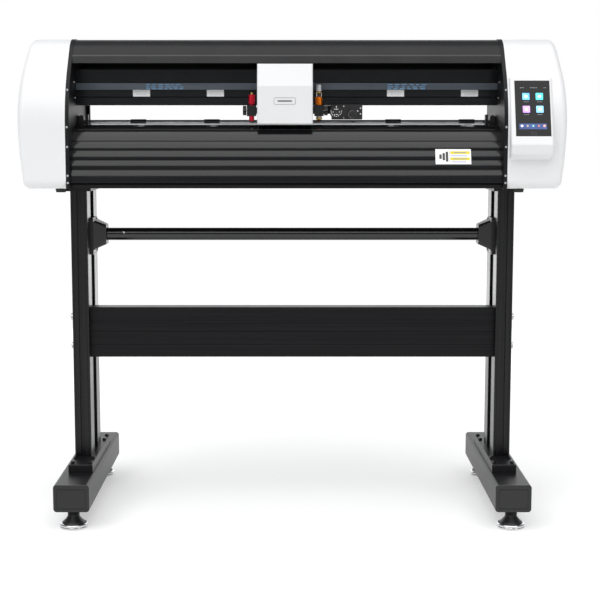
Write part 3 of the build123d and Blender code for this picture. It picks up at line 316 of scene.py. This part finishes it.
MATERIALS = {
    # powder-coated steel: darkest and lightest colour, roughness, grain, specular level
    "frame_steel": powder_coat("frame_steel", *COAT_BLACK, 0.36, specular=0.24),
    "plate_steel": powder_coat("plate_steel", *COAT_BLACK, 0.42, specular=0.20),
    "cover_steel": powder_coat("cover_steel", *SHEET_BLACK, 0.36, 1300.0, 0.24),
    # the cover's front lip: a lighter copy of the cover's black, a painted highlight for the light the lip
    # catches
    "lip_painted_highlight": powder_coat("lip_painted_highlight", (0.030, 0.030, 0.031), (0.038, 0.038, 0.039), 0.34, 1300.0),
    # extruded and ground metal: colours, roughness, metallic, the axis it was drawn along
    "upright": drawn_metal("upright", *DEEP_BLACK, 0.26, 0.0, "Z", specular=0.30),
    "crossbar": drawn_metal("crossbar", *DEEP_BLACK, 0.34, 0.0, specular=0.18),
    "apron": drawn_metal("apron", (0.006, 0.006, 0.007), (0.010, 0.010, 0.011), 0.13, 0.0),
    "beam": drawn_metal("beam", (0.004, 0.005, 0.006), (0.007, 0.008, 0.010), 0.20, 0.0),
    "rail": drawn_metal("rail", (0.080, 0.095, 0.115), (0.110, 0.130, 0.150), 0.38, 0.6),
    "bar": drawn_metal("bar", (0.005, 0.005, 0.006), (0.008, 0.008, 0.009), 0.12, 0.0, coat=0.6),
    "steel": drawn_metal("steel", (0.42, 0.43, 0.45), (0.52, 0.53, 0.55), 0.28, 1.0),
    "cage": drawn_metal("cage", (0.50, 0.50, 0.50), (0.58, 0.58, 0.58), 0.40, 1.0, "Y"),
    # mouldings, glass, board and label: colours, roughness, grain, depth of the grain
    "black_plastic": moulding("black_plastic", (0.008, 0.008, 0.009), (0.012, 0.012, 0.013), 0.38),
    "black_gloss": moulding("black_gloss", (0.008, 0.008, 0.009), (0.011, 0.011, 0.012), 0.18),
    "white_casing": moulding("white_casing", (0.76, 0.76, 0.765), (0.79, 0.79, 0.795), 0.30, 1900.0, 0.00004),
    "white_cover": moulding("white_cover", (0.74, 0.74, 0.745), (0.77, 0.77, 0.775), 0.26, 1900.0, 0.00004),
    "screen": moulding("screen", (0.002, 0.002, 0.003), (0.003, 0.003, 0.004), 0.06, 60.0, 0.00001, 0.25),
    "board": moulding("board", (0.010, 0.10, 0.035), (0.014, 0.14, 0.05), 0.35, 700.0, 0.0001),
    "label": moulding("label", (0.84, 0.84, 0.84), (0.88, 0.88, 0.88), 0.5, 1200.0, 0.00003),
    # plated and anodised metal: colour, roughness
    "chrome": bright_metal("chrome", (0.80, 0.80, 0.81), 0.10),
    "zinc": bright_metal("zinc", (0.66, 0.66, 0.67), 0.28),
    "aluminium": bright_metal("aluminium", (0.60, 0.61, 0.63), 0.36),
    "brass": bright_metal("brass", (0.78, 0.55, 0.18), 0.28),
    "red": bright_metal("red", (0.85, 0.03, 0.06), 0.22),
    "orange": bright_metal("orange", (0.88, 0.22, 0.015), 0.32),
    # rubber and knurled steel: colours
    "rubber": rubbery("rubber", (0.012, 0.012, 0.012), (0.022, 0.022, 0.022)),
    "belt": rubbery("belt", (0.006, 0.006, 0.006), (0.012, 0.012, 0.012)),
    "grit": knurled("grit", (0.05, 0.05, 0.052), (0.11, 0.11, 0.115)),
}

NODE_MATERIALS = {
    "foot_tubes": "frame_steel", "foot_end_caps": "black_plastic", "leg_plates": "frame_steel",
    "legs": "upright", "stand_bolts": "zinc", "crossbar": "crossbar", "roll_bar": "bar",
    "bar_brackets": "black_plastic", "side_plates": "plate_steel", "left_end_cover": "white_casing",
    "right_end_cover": "white_casing", "top_cover": "cover_steel", "front_apron": "apron",
    "rear_apron": "apron", "bottom_tray": "plate_steel", "labels": "label", "beam": "beam",
    "linear_rail": "rail", "carriage_belt": "belt", "idler_pulley": "aluminium",
    "drive_pulley": "aluminium", "carriage_motor": "plate_steel", "drive_brackets": "cage",
    "grit_shaft": "steel", "grit_sleeves": "grit", "shaft_bearings": "steel",
    "slot_end_blocks": "black_plastic", "feed_pulley": "aluminium", "feed_motor_pulley": "aluminium",
    "feed_belt": "belt", "feed_motor": "plate_steel", "lift_shaft": "steel", "pinch_arms": "aluminium",
    "lift_lever": "black_plastic", "carriage_block": "steel", "carriage_plate": "plate_steel",
    "carriage_cover": "white_cover", "tool_solenoids": "plate_steel", "camera_module": "black_plastic",
    "touch_screen": "screen", "control_board": "board", "power_supply": "cage",
    "rear_sockets": "black_plastic", "power_rocker": "black_gloss", "rubber_feet": "rubber",
    "case_screws": "zinc", "left_tool_slide": "black_gloss", "right_tool_slide": "black_gloss",
    "left_tool_holder": "red", "right_tool_holder": "orange", "left_tool_knob": "black_plastic",
    "right_tool_knob": "black_plastic",
}


def dress_faces(name, material, wanted):
    """A second material on those faces of a CAD node that answer a test of their centre."""
    mesh = nodes[name].data
    mesh.materials.append(MATERIALS[material])
    for face in mesh.polygons:
        if wanted(face.center):
            face.material_index = 1


def dress_nodes():
    """Every CAD node gets its material; the cover's lip gets a lighter copy of the cover's black as a painted
    highlight, and the base plates' bolts get a second.
    """
    for name, node in nodes.items():
        key = NODE_MATERIALS.get(name, "rubber" if name.startswith("pinch_roller") else "chrome")
        node.data.materials.clear()
        node.data.materials.append(MATERIALS[key])
    low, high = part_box("top_cover")
    lip_rear, lip_top = low.y + LIP_DEPTH, high.z - LIP_DROP
    # painted highlight: the lip's faces take the lighter copy of the cover's black
    dress_faces("top_cover", "lip_painted_highlight", lambda centre: centre.y < lip_rear and centre.z < lip_top)
    low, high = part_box("stand_bolts")
    half_way = (low.z + high.z) / 2
    dress_faces("stand_bolts", "black_gloss", lambda centre: centre.z < half_way)


# ---- mesh helpers ------------------------------------------------------------------------------
def add_piece(name, mesh, material, body, replaced=()):
    """Adds a finished piece with its material, its body and the CAD nodes it stands for."""
    piece = bpy.data.objects.new(name, mesh)
    bpy.context.scene.collection.objects.link(piece)
    mesh.materials.append(MATERIALS[material] if isinstance(material, str) else material)
    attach(piece, body)
    if replaced:
        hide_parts(*replaced)


def mesh_from(name, shape, smooth=False):
    """A mesh made from a bmesh, with its normals set outwards."""
    bmesh.ops.recalc_face_normals(shape, faces=shape.faces)
    mesh = bpy.data.meshes.new(name)
    shape.to_mesh(mesh)
    shape.free()
    if smooth:
        mesh.shade_smooth()
    return mesh


def lathe(shape, profile, matrix, steps=48):
    """Adds a turned form: profile is (radius, height) pairs about the matrix's Z axis."""
    rings = []
    for radius, height in profile:
        if radius < 1e-6:
            rings.append([shape.verts.new(matrix @ Vector((0, 0, height)))])
            continue
        ring = []
        for index in range(steps):
            angle = 2 * math.pi * index / steps
            point = Vector((radius * math.cos(angle), radius * math.sin(angle), height))
            ring.append(shape.verts.new(matrix @ point))
        rings.append(ring)
    for low, high in zip(rings, rings[1:]):
        for index in range(steps):
            after = (index + 1) % steps
            if len(low) == 1 and len(high) == 1:
                continue
            if len(low) == 1:
                shape.faces.new((low[0], high[after], high[index]))
            elif len(high) == 1:
                shape.faces.new((low[index], low[after], high[0]))
            else:
                shape.faces.new((low[index], low[after], high[after], high[index]))


def rounded_outline(width, height, radius, steps=6):
    """Corner points of a rounded rectangle centred on the origin."""
    points = []
    for quarter, (sign_x, sign_y) in enumerate(((1, 1), (-1, 1), (-1, -1), (1, -1))):
        centre = (sign_x * (width / 2 - radius), sign_y * (height / 2 - radius))
        for step in range(steps + 1):
            angle = math.pi / 2 * (quarter + step / steps)
            points.append((centre[0] + radius * math.cos(angle), centre[1] + radius * math.sin(angle)))
    return points


def slab(shape, outline, matrix, low, high):
    """Adds a closed slab of an outline in the matrix's XY plane, from a low to a high level."""
    bottom = [shape.verts.new(matrix @ Vector((x, y, low))) for x, y in outline]
    top = [shape.verts.new(matrix @ Vector((x, y, high))) for x, y in outline]
    shape.faces.new(list(reversed(bottom)))
    shape.faces.new(top)
    for index in range(len(outline)):
        after = (index + 1) % len(outline)
        shape.faces.new((bottom[index], bottom[after], top[after], top[index]))


def frame_ring(shape, outer, inner, matrix, low, high):
    """Adds a closed ring between two outlines with the same number of points."""
    loops = []
    for outline, level in ((outer, low), (outer, high), (inner, high), (inner, low)):
        loops.append([shape.verts.new(matrix @ Vector((x, y, level))) for x, y in outline])
    count = len(outer)
    for first, second in zip(loops, loops[1:] + loops[:1]):
        for index in range(count):
            after = (index + 1) % count
            shape.faces.new((first[index], first[after], second[after], second[index]))


def facing(origin, right, up):
    """A matrix whose X runs right, Y up and Z out of the surface."""
    right = Vector(right).normalized()
    out = right.cross(Vector(up)).normalized()
    up = out.cross(right)
    matrix = Matrix((right, up, out)).transposed().to_4x4()
    matrix.translation = Vector(origin)
    return matrix


# ---- levelling feet ----------------------------------------------------------------------------
def pad_profile(radius):
    """The disc: a small foot edge, a shallow groove round the rim and a rounded upper edge."""
    return [(0, 0.0), (radius - 0.002, 0.0), (radius - 0.0006, 0.0006), (radius, 0.002), (radius, 0.0045),
            (radius - 0.0007, 0.0052), (radius - 0.0007, 0.0060), (radius, 0.0067), (radius, 0.0085),
            (radius - 0.001, PAD_TOP - 0.0009), (radius - 0.0032, PAD_TOP), (radius - 0.0046, PAD_TOP),
            (0, PAD_FACE)]


def stem_profile():
    """The flared collar, the plain stem and the threaded stud above it."""
    profile = [(0, PAD_FACE), (COLLAR_RADIUS, PAD_FACE), (COLLAR_RADIUS, PAD_FACE + 0.001), (0.0225, 0.0135),
               (0.0175, 0.0182), (0.0142, 0.0222), (0.0130, 0.0240), (STEM_RADIUS, 0.0246),
               (STEM_RADIUS, STEM_HIGH - 0.0006), (STEM_RADIUS - 0.0006, STEM_HIGH), (0.0058, STEM_HIGH)]
    for turn in range(THREAD_TURNS):
        level = THREAD_START + THREAD_PITCH * turn
        profile += [(THREAD_ROOT, level), (THREAD_CREST, level + THREAD_PITCH / 2)]
    return profile + [(THREAD_ROOT, STUD_TOP - 0.0007), (0.0, STUD_TOP)]


def leveller_pieces():
    """Each levelling foot: a chromed disc, and a dark collar and stem with a threaded stud."""
    for name in [n for n in nodes if n.endswith("_leveller")]:
        low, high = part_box(name)
        centre = Matrix.Translation(((low.x + high.x) / 2, (low.y + high.y) / 2, 0))
        disc = bmesh.new()
        lathe(disc, pad_profile((high.x - low.x) / 2), centre, 64)
        disc_mesh = mesh_from(name + "_disc", disc, True)
        add_piece(name + "_disc", disc_mesh, "chrome", name, [name])
        stem = bmesh.new()
        lathe(stem, stem_profile(), centre, 48)
        stem_mesh = mesh_from(name + "_stem", stem, True)
        add_piece(name + "_stem", stem_mesh, "black_plastic", name, [name])


# ---- touch screen ------------------------------------------------------------------------------
def screen_matrix():
    """The frame of the glass: X right, Y up the glass, Z out of it, origin at its centre."""
    low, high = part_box("touch_screen")
    glass = [v.co for v in nodes["touch_screen"].data.vertices]
    top = max(glass, key=lambda p: p.z - 0.5 * p.y)
    bottom = min(glass, key=lambda p: p.z + p.y * 1.2)
    up = Vector((0, top.y - bottom.y, top.z - bottom.z)).normalized()
    centre = Vector(((low.x + high.x) / 2, (top.y + bottom.y) / 2, (top.z + bottom.z) / 2))
    return facing(centre, (1, 0, 0), up), (top - bottom).yz.length, high.x - low.x


def dot_row(size, x, y, pitch, count):
    """The parts of a row of small rounded dots."""
    return [(rounded_outline(*size, 0.0004, 2), x + pitch * step, y, 0) for step in range(count)]


def screen_pieces():
    """The lit picture on the glass: status line, four plain icons, a dock and a home mark."""
    matrix, height, width = screen_matrix()

    def place(name, parts, material):
        shape = bmesh.new()
        for outline, dx, dy, level in parts:
            low = PICTURE_LIFT + level
            slab(shape, [(x + dx, y + dy) for x, y in outline], matrix, low, low + PICTURE_THICKNESS)
        add_piece(name, mesh_from(name, shape), material, "frame")

    def at(across, down):
        return (across - 0.5) * width, (0.5 - down) * height

    white = lit("screen_white", (0.92, 0.94, 1.0), 0.9)
    dim = lit("screen_dim", (0.34, 0.36, 0.40), 0.35)
    glyphs = []
    captions = []
    for name, (color, across, down) in ICONS.items():
        x, y = at(across, down)
        second = tuple(min(1.0, c * 1.5 + 0.05) for c in color)
        icon = rounded_outline(ICON_SIZE, ICON_SIZE, 0.0012)
        place("icon_" + name, [(icon, x, y, 0)], lit("lit_" + name, color, 0.85, second))
        glyphs.append((rounded_outline(*GLYPH_SIZE, 0.0016), x, y + 0.0002, PICTURE_THICKNESS))
        captions += dot_row(CAPTION_DOT, x - 1.5 * CAPTION_PITCH, y - CAPTION_DROP, CAPTION_PITCH, 4)
    place("icon_glyphs", glyphs, white)
    dots = []
    for across, count in STATUS_RUNS:
        x, y = at(across, STATUS_DOWN)
        dots += dot_row(STATUS_DOT, x, y, STATUS_PITCH, count)
    place("screen_captions", captions, dim)
    place("screen_status", dots, dim)
    x, y = at(*DOCK_SPOT)
    dock = rounded_outline(0.78 * width, DOCK_HEIGHT, 0.0008)
    place("screen_dock", [(dock, x, y, 0)], lit("lit_dock", (0.020, 0.045, 0.16), 0.6, (0.03, 0.07, 0.24)))
    for index, color in enumerate(DOCK_COLORS):
        x, y = at(DOCK_MARKS_START + DOCK_MARKS_STEP * index, DOCK_MARKS_DOWN)
        size = 0.0050 if index in (0, 4) else 0.0038
        mark = rounded_outline(size, size, size * 0.35)
        glow = lit(f"lit_dock_{index + 1}", color, 0.6)
        place(f"dock_mark_{index + 1}", [(mark, x, y, PICTURE_THICKNESS)], glow)
    centre = matrix @ Matrix.Translation((*at(*HOME_SPOT), 0))
    ring = bmesh.new()
    frame_ring(ring, rounded_outline(*HOME_OUTER, 0.0010), rounded_outline(*HOME_INNER, 0.0008), centre,
               PICTURE_LIFT, PICTURE_LIFT + PICTURE_THICKNESS)
    add_piece("home_mark", mesh_from("home_mark", ring), lit("lit_home", (0.10, 0.10, 0.11), 0.15), "frame")


# ---- stickers and marks --------------------------------------------------------------------------
def print_bars(name, bars, matrix, level, color):
    """Plain printed bars on a sticker, each an X, Y, width and height on its face."""
    shape = bmesh.new()
    for x, y, width, height in bars:
        outline = rounded_outline(width, height, min(width, height) * 0.3, 3)
        slab(shape, [(px + x, py + y) for px, py in outline], matrix, level, level + PRINT_THICKNESS)
    piece_name = "sticker_" + name
    add_piece(piece_name, mesh_from(piece_name, shape), lit("print_" + name, color, 0.0), "frame")


def beam_stickers(points):
    """The four blank station stickers, each with three plain grey lines."""
    stickers = bmesh.new()
    lines = bmesh.new()
    edges = sorted({round(p.x, 4) for p in points})
    front = min(p.y for p in points)
    bottom, top = min(p.z for p in points), max(p.z for p in points)
    for left, right in zip(edges[0::2], edges[1::2]):
        matrix = facing(((left + right) / 2, front + 0.0004, (bottom + top) / 2), (1, 0, 0), (0, 0, 1))
        slab(stickers, rounded_outline(right - left, top - bottom, 0.0008), matrix, 0.0, STICKER_THICKNESS)
        for row in (-1, 0, 1):
            line = rounded_outline(*STICKER_LINE, 0.0002, 2)
            outline = [(x, y + row * STICKER_LINE_PITCH) for x, y in line]
            slab(lines, outline, matrix, STICKER_THICKNESS, STICKER_THICKNESS + 0.00005)
    add_piece("beam_stickers", mesh_from("beam_stickers", stickers), "label", "frame", ["labels"])
    add_piece("beam_sticker_lines", mesh_from("beam_sticker_lines", lines),
              lit("sticker_grey", (0.55, 0.55, 0.56), 0.0), "frame")


def apron_sticker(points):
    """The sticker low on the apron, with plain coloured bars and no lettering."""
    left, right = min(p.x for p in points), max(p.x for p in points)
    top = max(points, key=lambda p: p.z)
    bottom = min(points, key=lambda p: p.z)
    up = Vector((0, top.y - bottom.y, top.z - bottom.z)).normalized()
    out = Vector((1, 0, 0)).cross(up)
    face = [p for p in points if (p - bottom).dot(out) > 0.0002 or p == bottom]
    middle_y = sum(p.y for p in face) / len(face)
    middle_z = sum(p.z for p in face) / len(face)
    matrix = facing(((left + right) / 2, middle_y, middle_z), (1, 0, 0), up)
    base = bmesh.new()
    slab(base, rounded_outline(right - left, APRON_STICKER_HEIGHT, 0.001), matrix, -0.0004, 0.0001)
    add_piece("apron_sticker", mesh_from("apron_sticker", base), "label", "frame", ["labels"])
    for name, (color, level, bars) in APRON_PRINT.items():
        print_bars(name, bars, matrix, level, color)


def label_pieces():
    """Every sticker, sorted by height into those on the beam and the one on the apron."""
    low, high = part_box("labels")
    half_way = (low.z + high.z) / 2
    points = [v.co for v in nodes["labels"].data.vertices]
    beam_stickers([p for p in points if p.z > half_way])
    apron_sticker([p for p in points if p.z < half_way])


def rail_marks():
    """Short blue register dashes printed on the rail, in place of lettering."""
    low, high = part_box("linear_rail")
    shape = bmesh.new()
    for start, end in DASH_RUNS:
        for row in DASH_ROWS:
            x = low.x + start
            while x < low.x + end:
                length = random.uniform(0.006, 0.013)
                z = low.z + (high.z - low.z) * row
                matrix = facing((x + length / 2, low.y, z), (1, 0, 0), (0, 0, 1))
                outline = rounded_outline(length, DASH_HEIGHT, 0.0004, 2)
                slab(shape, outline, matrix, PRINT_LIFT, PRINT_LIFT + PRINT_THICKNESS)
                x += length + random.uniform(0.003, 0.006)
    ink = lit("print_blue", (0.20, 0.43, 0.70), 0.0)
    add_piece("rail_marks", mesh_from("rail_marks", shape), ink, "frame")


def badge():
    """The blank badge on the carriage cover: a thin raised outline round a plain bar."""
    low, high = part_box("carriage_cover")
    matrix = facing(((low.x + high.x) / 2 - 0.0005, low.y, low.z + BADGE_RISE), (1, 0, 0), (0, 0, 1))
    ring = bmesh.new()
    frame_ring(ring, rounded_outline(*BADGE_OUTER, 0.0030), rounded_outline(*BADGE_INNER, 0.0024), matrix,
               PRINT_LIFT, 0.0003)
    slab(ring, rounded_outline(*BADGE_BAR, 0.0016), matrix, PRINT_LIFT, 0.0003)
    ink = lit("print_badge", (0.20, 0.20, 0.21), 0.0)
    add_piece("carriage_badge", mesh_from("carriage_badge", ring), ink, "carriage")


# ---- tool holders, knobs and camera --------------------------------------------------------------
def ringed(low, high, radius, grooves, edge=0.0008):
    """A turned profile from a low to a high level with shallow grooves and rounded ends."""
    profile = [(radius - edge, low), (radius, low + edge)]
    for level in grooves:
        profile += [(radius, level - 0.0005), (radius - 0.0006, level - 0.0003),
                    (radius - 0.0006, level + 0.0003), (radius, level + 0.0005)]
    return profile + [(radius, high - edge), (radius - edge, high)]


def turned(name, profile, x, y, material, body, replaced):
    """Adds a turned piece standing at X, Y, closed at both ends."""
    shape = bmesh.new()
    closed = [(0, profile[0][1])] + profile + [(0, profile[-1][1])]
    lathe(shape, closed, Matrix.Translation((x, y, 0)), 40)
    add_piece(name, mesh_from(name, shape), material, body, replaced)


def left_holder_pieces():
    """The red blade holder: body and grooved collar, steel tip and brass cap."""
    low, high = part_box("left_tool_holder")
    x, y, base = (low.x + high.x) / 2, (low.y + high.y) / 2, low.z
    shoulder, top = base + 0.0390, base + 0.0598
    body = [(BLADE_BODY_RADIUS, base + 0.0040), (BLADE_BODY_RADIUS, shoulder - 0.0004),
            (BLADE_BODY_RADIUS + 0.0004, shoulder - 0.0002)]
    grooves = [shoulder + 0.0040 + 0.006 * n for n in range(3)]
    body += ringed(shoulder, top, BLADE_COLLAR_RADIUS, grooves, 0.001)
    turned("left_holder_body", body, x, y, "red", "left_tool", ["left_tool_holder"])
    tip = [(0.0006, base), (0.0016, base + 0.0005), (0.0042, base + 0.0039)]
    turned("left_holder_tip", tip, x, y, "zinc", "left_tool", ["left_tool_holder"])
    cap = [(0.0030, top), (0.0030, top + 0.0030), (0.0022, top + 0.0041)]
    turned("left_holder_cap", cap, x, y, "brass", "left_tool", ["left_tool_holder"])


def spring_cage(x, y, low, high):
    """Two thin posts and the four coils of a spring between them."""
    cage = bmesh.new()
    for step in (-0.0050, 0.0050):
        post = [(0, low), (0.0011, low), (0.0011, high), (0, high)]
        lathe(cage, post, Matrix.Translation((x + step, y - 0.002, 0)), 12)
    for turn in range(4):
        level = low + 0.0010 + 0.0022 * turn
        coil = [(0.0020, level), (0.0030, level + 0.0006), (0.0020, level + 0.0012)]
        lathe(cage, coil, Matrix.Translation((x, y, 0)), 24)
    add_piece("right_holder_cage", mesh_from("right_holder_cage", cage), "zinc", "right_tool",
              ["right_tool_holder"])


def right_holder_pieces():
    """The sprung holder, from its knob down: flare, spring cage, collar, stem, nose and tip."""
    low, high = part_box("right_tool_holder")
    x, y, top = (low.x + high.x) / 2, (low.y + high.y) / 2, high.z

    def part(name, profile, material):
        turned("right_holder_" + name, profile, x, y, material, "right_tool", ["right_tool_holder"])

    grooves = [top - 0.0105 + 0.003 * n for n in range(3)]
    part("knob", ringed(top - 0.0150, top, PEN_KNOB_RADIUS, grooves), "zinc")
    flare = [(0.0030, top - 0.0190), (PEN_COLLAR_RADIUS, top - 0.0178), (PEN_COLLAR_RADIUS, top - 0.0168),
             (0.0040, top - 0.0152)]
    part("flare", flare, "brass")
    spring_cage(x, y, top - 0.0272, top - 0.0176)
    grooves = [top - 0.0390 + 0.004 * n for n in range(3)]
    collar = ringed(top - 0.0438, top - 0.0262, PEN_COLLAR_RADIUS, grooves, 0.001)
    part("collar", collar, "orange")
    part("stem", [(0.0056, top - 0.0690), (0.0056, top - 0.0438)], "steel")
    part("nose", ringed(top - 0.0740, top - 0.0690, 0.0068, [top - 0.0715]), "brass")
    tip = [(0.0008, top - 0.0778), (0.0020, top - 0.0770), (0.0042, top - 0.0740)]
    part("tip", tip, "orange")


def lobed_outline(scale):
    """The outline of a knob with rounded lobes, shrunk by the scale."""
    points = []
    for index in range(72):
        angle = 2 * math.pi * index / 72
        reach = (KNOB_REACH + KNOB_LOBE * math.cos(KNOB_LOBES * angle)) * scale
        points.append((reach * math.cos(angle), reach * math.sin(angle)))
    return points


def knob_pieces():
    """The two clamping knobs: black lobed grips with a chromed face and a screw."""
    for side, name, body in ((-1, "left_tool_knob", "left_knob"), (1, "right_tool_knob", "right_knob")):
        low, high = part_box(name)
        outer = low.x if side < 0 else high.x
        middle_y, middle_z = (low.y + high.y) / 2, (low.z + high.z) / 2
        axis = Matrix(((0, 0, -side, outer), (1, 0, 0, middle_y), (0, 1, 0, middle_z), (0, 0, 0, 1)))
        grip = bmesh.new()
        for scale, near, far in ((KNOB_SHRINK, 0.0004, 0.0010), (1.0, 0.0010, 0.0072),
                                 (KNOB_SHRINK, 0.0072, 0.0080)):
            slab(grip, lobed_outline(scale), axis, near, far)
        grip_mesh = mesh_from(name + "_grip", grip)
        add_piece(name + "_grip", grip_mesh, "black_gloss", body, [name])
        face = bmesh.new()
        dish = [(0, 0.0001), (0.0030, 0.0001), (0.0062, 0.0004), (0.0072, 0.0009), (0.0072, 0.0012),
                (0, 0.0012)]
        lathe(face, dish, axis, 40)
        for index in range(KNOB_LOBES):
            angle = 2 * math.pi / KNOB_LOBES * index
            place = axis @ Matrix.Translation((BEAD_RING * math.cos(angle), BEAD_RING * math.sin(angle), 0))
            lathe(face, [(0, 0.0004), (0.0012, 0.0005), (0.0016, 0.0011), (0, 0.0012)], place, 16)
        end = high.x - low.x - 0.0001
        lathe(face, [(0, 0.0080), (0.0019, 0.0080), (0.0019, end), (0, end)], axis, 20)
        add_piece(name + "_face", mesh_from(name + "_face", face), "chrome", body, [name])


def camera_lamps(place):
    """A cross, an arc and a ring of small lamps on the light disc."""
    lamps = bmesh.new()
    spots = [(0, 0.0117 - 0.0032 * n) for n in range(3)] + [(0, -0.0053)]
    for index in range(9):
        angle = math.radians(180 + 22.5 * index)
        spots.append((LAMP_ARC * math.cos(angle), LAMP_ARC * math.sin(angle) + 0.002))
    for index in range(6):
        angle = math.radians(60 * index)
        spots.append((LAMP_RING * math.cos(angle), LAMP_RING * math.sin(angle)))
    dome = [(0, PRINT_LIFT), (LAMP_RADIUS, PRINT_LIFT), (LAMP_RADIUS - 0.0002, 0.0007), (0, 0.0009)]
    for dx, dz in spots:
        lathe(lamps, dome, place @ Matrix.Translation((dx, dz, 0.0)), 12)
    add_piece("camera_lamps", mesh_from("camera_lamps", lamps), lit("lamp_white", (0.9, 0.9, 0.88), 0.35),
              "carriage")


def camera_pieces():
    """On the mark camera: small lamps, a lens, a ribbed barrel and screws."""
    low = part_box("camera_module")[0]
    right, up = (1, 0, 0), (0, 0, 1)
    disc = facing(low + DISC_PLACE, right, up)
    camera_lamps(disc)
    lens = bmesh.new()
    rim_and_glass = [(0.0022, PRINT_LIFT), (0.0034, PRINT_LIFT), (0.0034, 0.0012), (0.0024, 0.0012),
                     (0.0022, 0.0005), (0, 0.0009)]
    lathe(lens, rim_and_glass, disc, 24)
    add_piece("camera_lens", mesh_from("camera_lens", lens, True), "black_gloss", "carriage")
    barrel = bmesh.new()
    ribs = [(0, -0.0004), (0.0052, -0.0004), (0.0058, -0.0008)]
    for turn in range(BARREL_RIBS):
        depth = -0.0016 - 0.002 * turn
        ribs += [(0.0082, depth), (0.0082, depth - 0.0010), (0.0080, depth - 0.0015)]
    lathe(barrel, ribs + [(0, -0.0112)], facing(low + BARREL_PLACE, right, up), 32)
    add_piece("camera_barrel", mesh_from("camera_barrel", barrel), "aluminium", "carriage")
    screws = bmesh.new()
    head = [(0, PRINT_LIFT), (0.0016, PRINT_LIFT), (0.0015, 0.0009), (0.0007, 0.0012), (0, 0.0008)]
    for place in SCREW_PLACES:
        lathe(screws, head, facing(low + place, right, up), 16)
    add_piece("camera_screws", mesh_from("camera_screws", screws), "zinc", "carriage")


def bar_screw():
    """The small dome screw near the roll bar's left end, which stops a media flange."""
    low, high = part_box("roll_bar")
    radius = (high.z - low.z) / 2
    tilt = math.radians(BAR_SCREW_TILT)
    centre = Vector((low.x + BAR_SCREW_INSET, (low.y + high.y) / 2, (low.z + high.z) / 2))
    out = Vector((0, -math.cos(tilt), math.sin(tilt)))
    place = facing(centre + out * (radius - 0.0006), (1, 0, 0), (0, math.sin(tilt), math.cos(tilt)))
    shape = bmesh.new()
    lathe(shape, [(0, 0), (0.0030, 0), (0.0028, 0.0013), (0.0018, 0.0022), (0.0008, 0.0024), (0.0006, 0.0016),
                  (0, 0.0016)], place, 24)
    add_piece("bar_screw", mesh_from("bar_screw", shape), "zinc", "roll_bar")


# ---- camera, light and floor ------------------------------------------------------------------
def add_light(name, data, location=(0, 0, 0)):
    """A light object in the scene."""
    light = bpy.data.objects.new(name, data)
    light.location = location
    bpy.context.scene.collection.objects.link(light)
    return light


def area_light(name, location, target, size, power):
    """A soft rectangular light aimed at a point."""
    data = bpy.data.lights.new(name, "AREA")
    data.shape = "RECTANGLE"
    data.size, data.size_y = size
    data.energy = power
    light = add_light(name, data, location)
    light.rotation_euler = (Vector(target) - Vector(location)).to_track_quat("-Z", "Y").to_euler()


def floor():
    """The pale floor, partly self-lit so that its shadows stay pale."""
    shape = bmesh.new()
    slab(shape, rounded_outline(FLOOR_SIZE, FLOOR_SIZE, 1.0), Matrix.Identity(4), -0.02, 0.0)
    ground = bpy.data.objects.new("floor", mesh_from("floor", shape))
    bpy.context.scene.collection.objects.link(ground)
    material, tree, shader = new_material("floor", (0.93, 0.93, 0.93), 0.9)
    mottle = tint(tree, noise(tree, 1.5), (0.60, 0.60, 0.60), (0.61, 0.61, 0.61))
    tree.links.new(mottle, shader.inputs["Base Color"])
    shader.inputs["Emission Color"].default_value = (1.0, 1.0, 1.0, 1)
    shader.inputs["Emission Strength"].default_value = 0.40
    shader.inputs["Specular IOR Level"].default_value = 0.0
    ground.data.materials.append(material)


def surround():
    """White paper to the camera, and a dimmer, cooler glow as light."""
    world = bpy.data.worlds.new("studio")
    world.use_nodes = True
    bpy.context.scene.world = world
    tree = world.node_tree
    glow = tree.nodes["Background"]
    glow.inputs["Color"].default_value = (0.94, 0.97, 1.0, 1)
    glow.inputs["Strength"].default_value = 0.27
    paper = tree.nodes.new("ShaderNodeBackground")
    paper.inputs["Color"].default_value = (1.0, 1.0, 1.0, 1)
    rays = tree.nodes.new("ShaderNodeLightPath")
    either = tree.nodes.new("ShaderNodeMixShader")
    tree.links.new(rays.outputs["Is Camera Ray"], either.inputs["Fac"])
    tree.links.new(glow.outputs["Background"], either.inputs[1])
    tree.links.new(paper.outputs["Background"], either.inputs[2])
    tree.links.new(either.outputs["Shader"], tree.nodes["World Output"].inputs["Surface"])


def lights():
    """A key, a fill and a backdrop light, and a wide soft sun nearly overhead."""
    area_light("key", (-2.2, -2.8, 2.6), (0, 0, 0.7), (1.2, 1.8), 15)
    area_light("fill", (2.4, -2.6, 1.5), (0, 0, 0.7), (0.9, 2.2), 6)
    area_light("backdrop", (0, 2.6, 1.25), (0, 0, 1.1), (6.5, 2.4), 48)
    data = bpy.data.lights.new("sky", "SUN")
    data.energy = 2.7
    data.angle = math.radians(75)
    add_light("sky", data).rotation_euler = (math.radians(24), math.radians(-6), 0)


def camera():
    """The camera, in front of the machine at the height of its platen, looking slightly down."""
    data = bpy.data.cameras.new("camera")
    data.lens = CAMERA_LENS
    data.sensor_width = 36.0
    data.shift_x = CAMERA_SHIFT
    eye = bpy.data.objects.new("camera", data)
    eye.location = CAMERA_PLACE
    eye.rotation_euler = (math.radians(CAMERA_TILT), 0, 0)
    bpy.context.scene.collection.objects.link(eye)
    bpy.context.scene.camera = eye
    view = bpy.context.scene.view_settings
    view.view_transform = "Standard"
    view.look = "None"


floor()
surround()
lights()
camera()
dress_nodes()
leveller_pieces()
screen_pieces()
label_pieces()
rail_marks()
badge()
left_holder_pieces()
right_holder_pieces()
knob_pieces()
camera_pieces()
bar_screw()
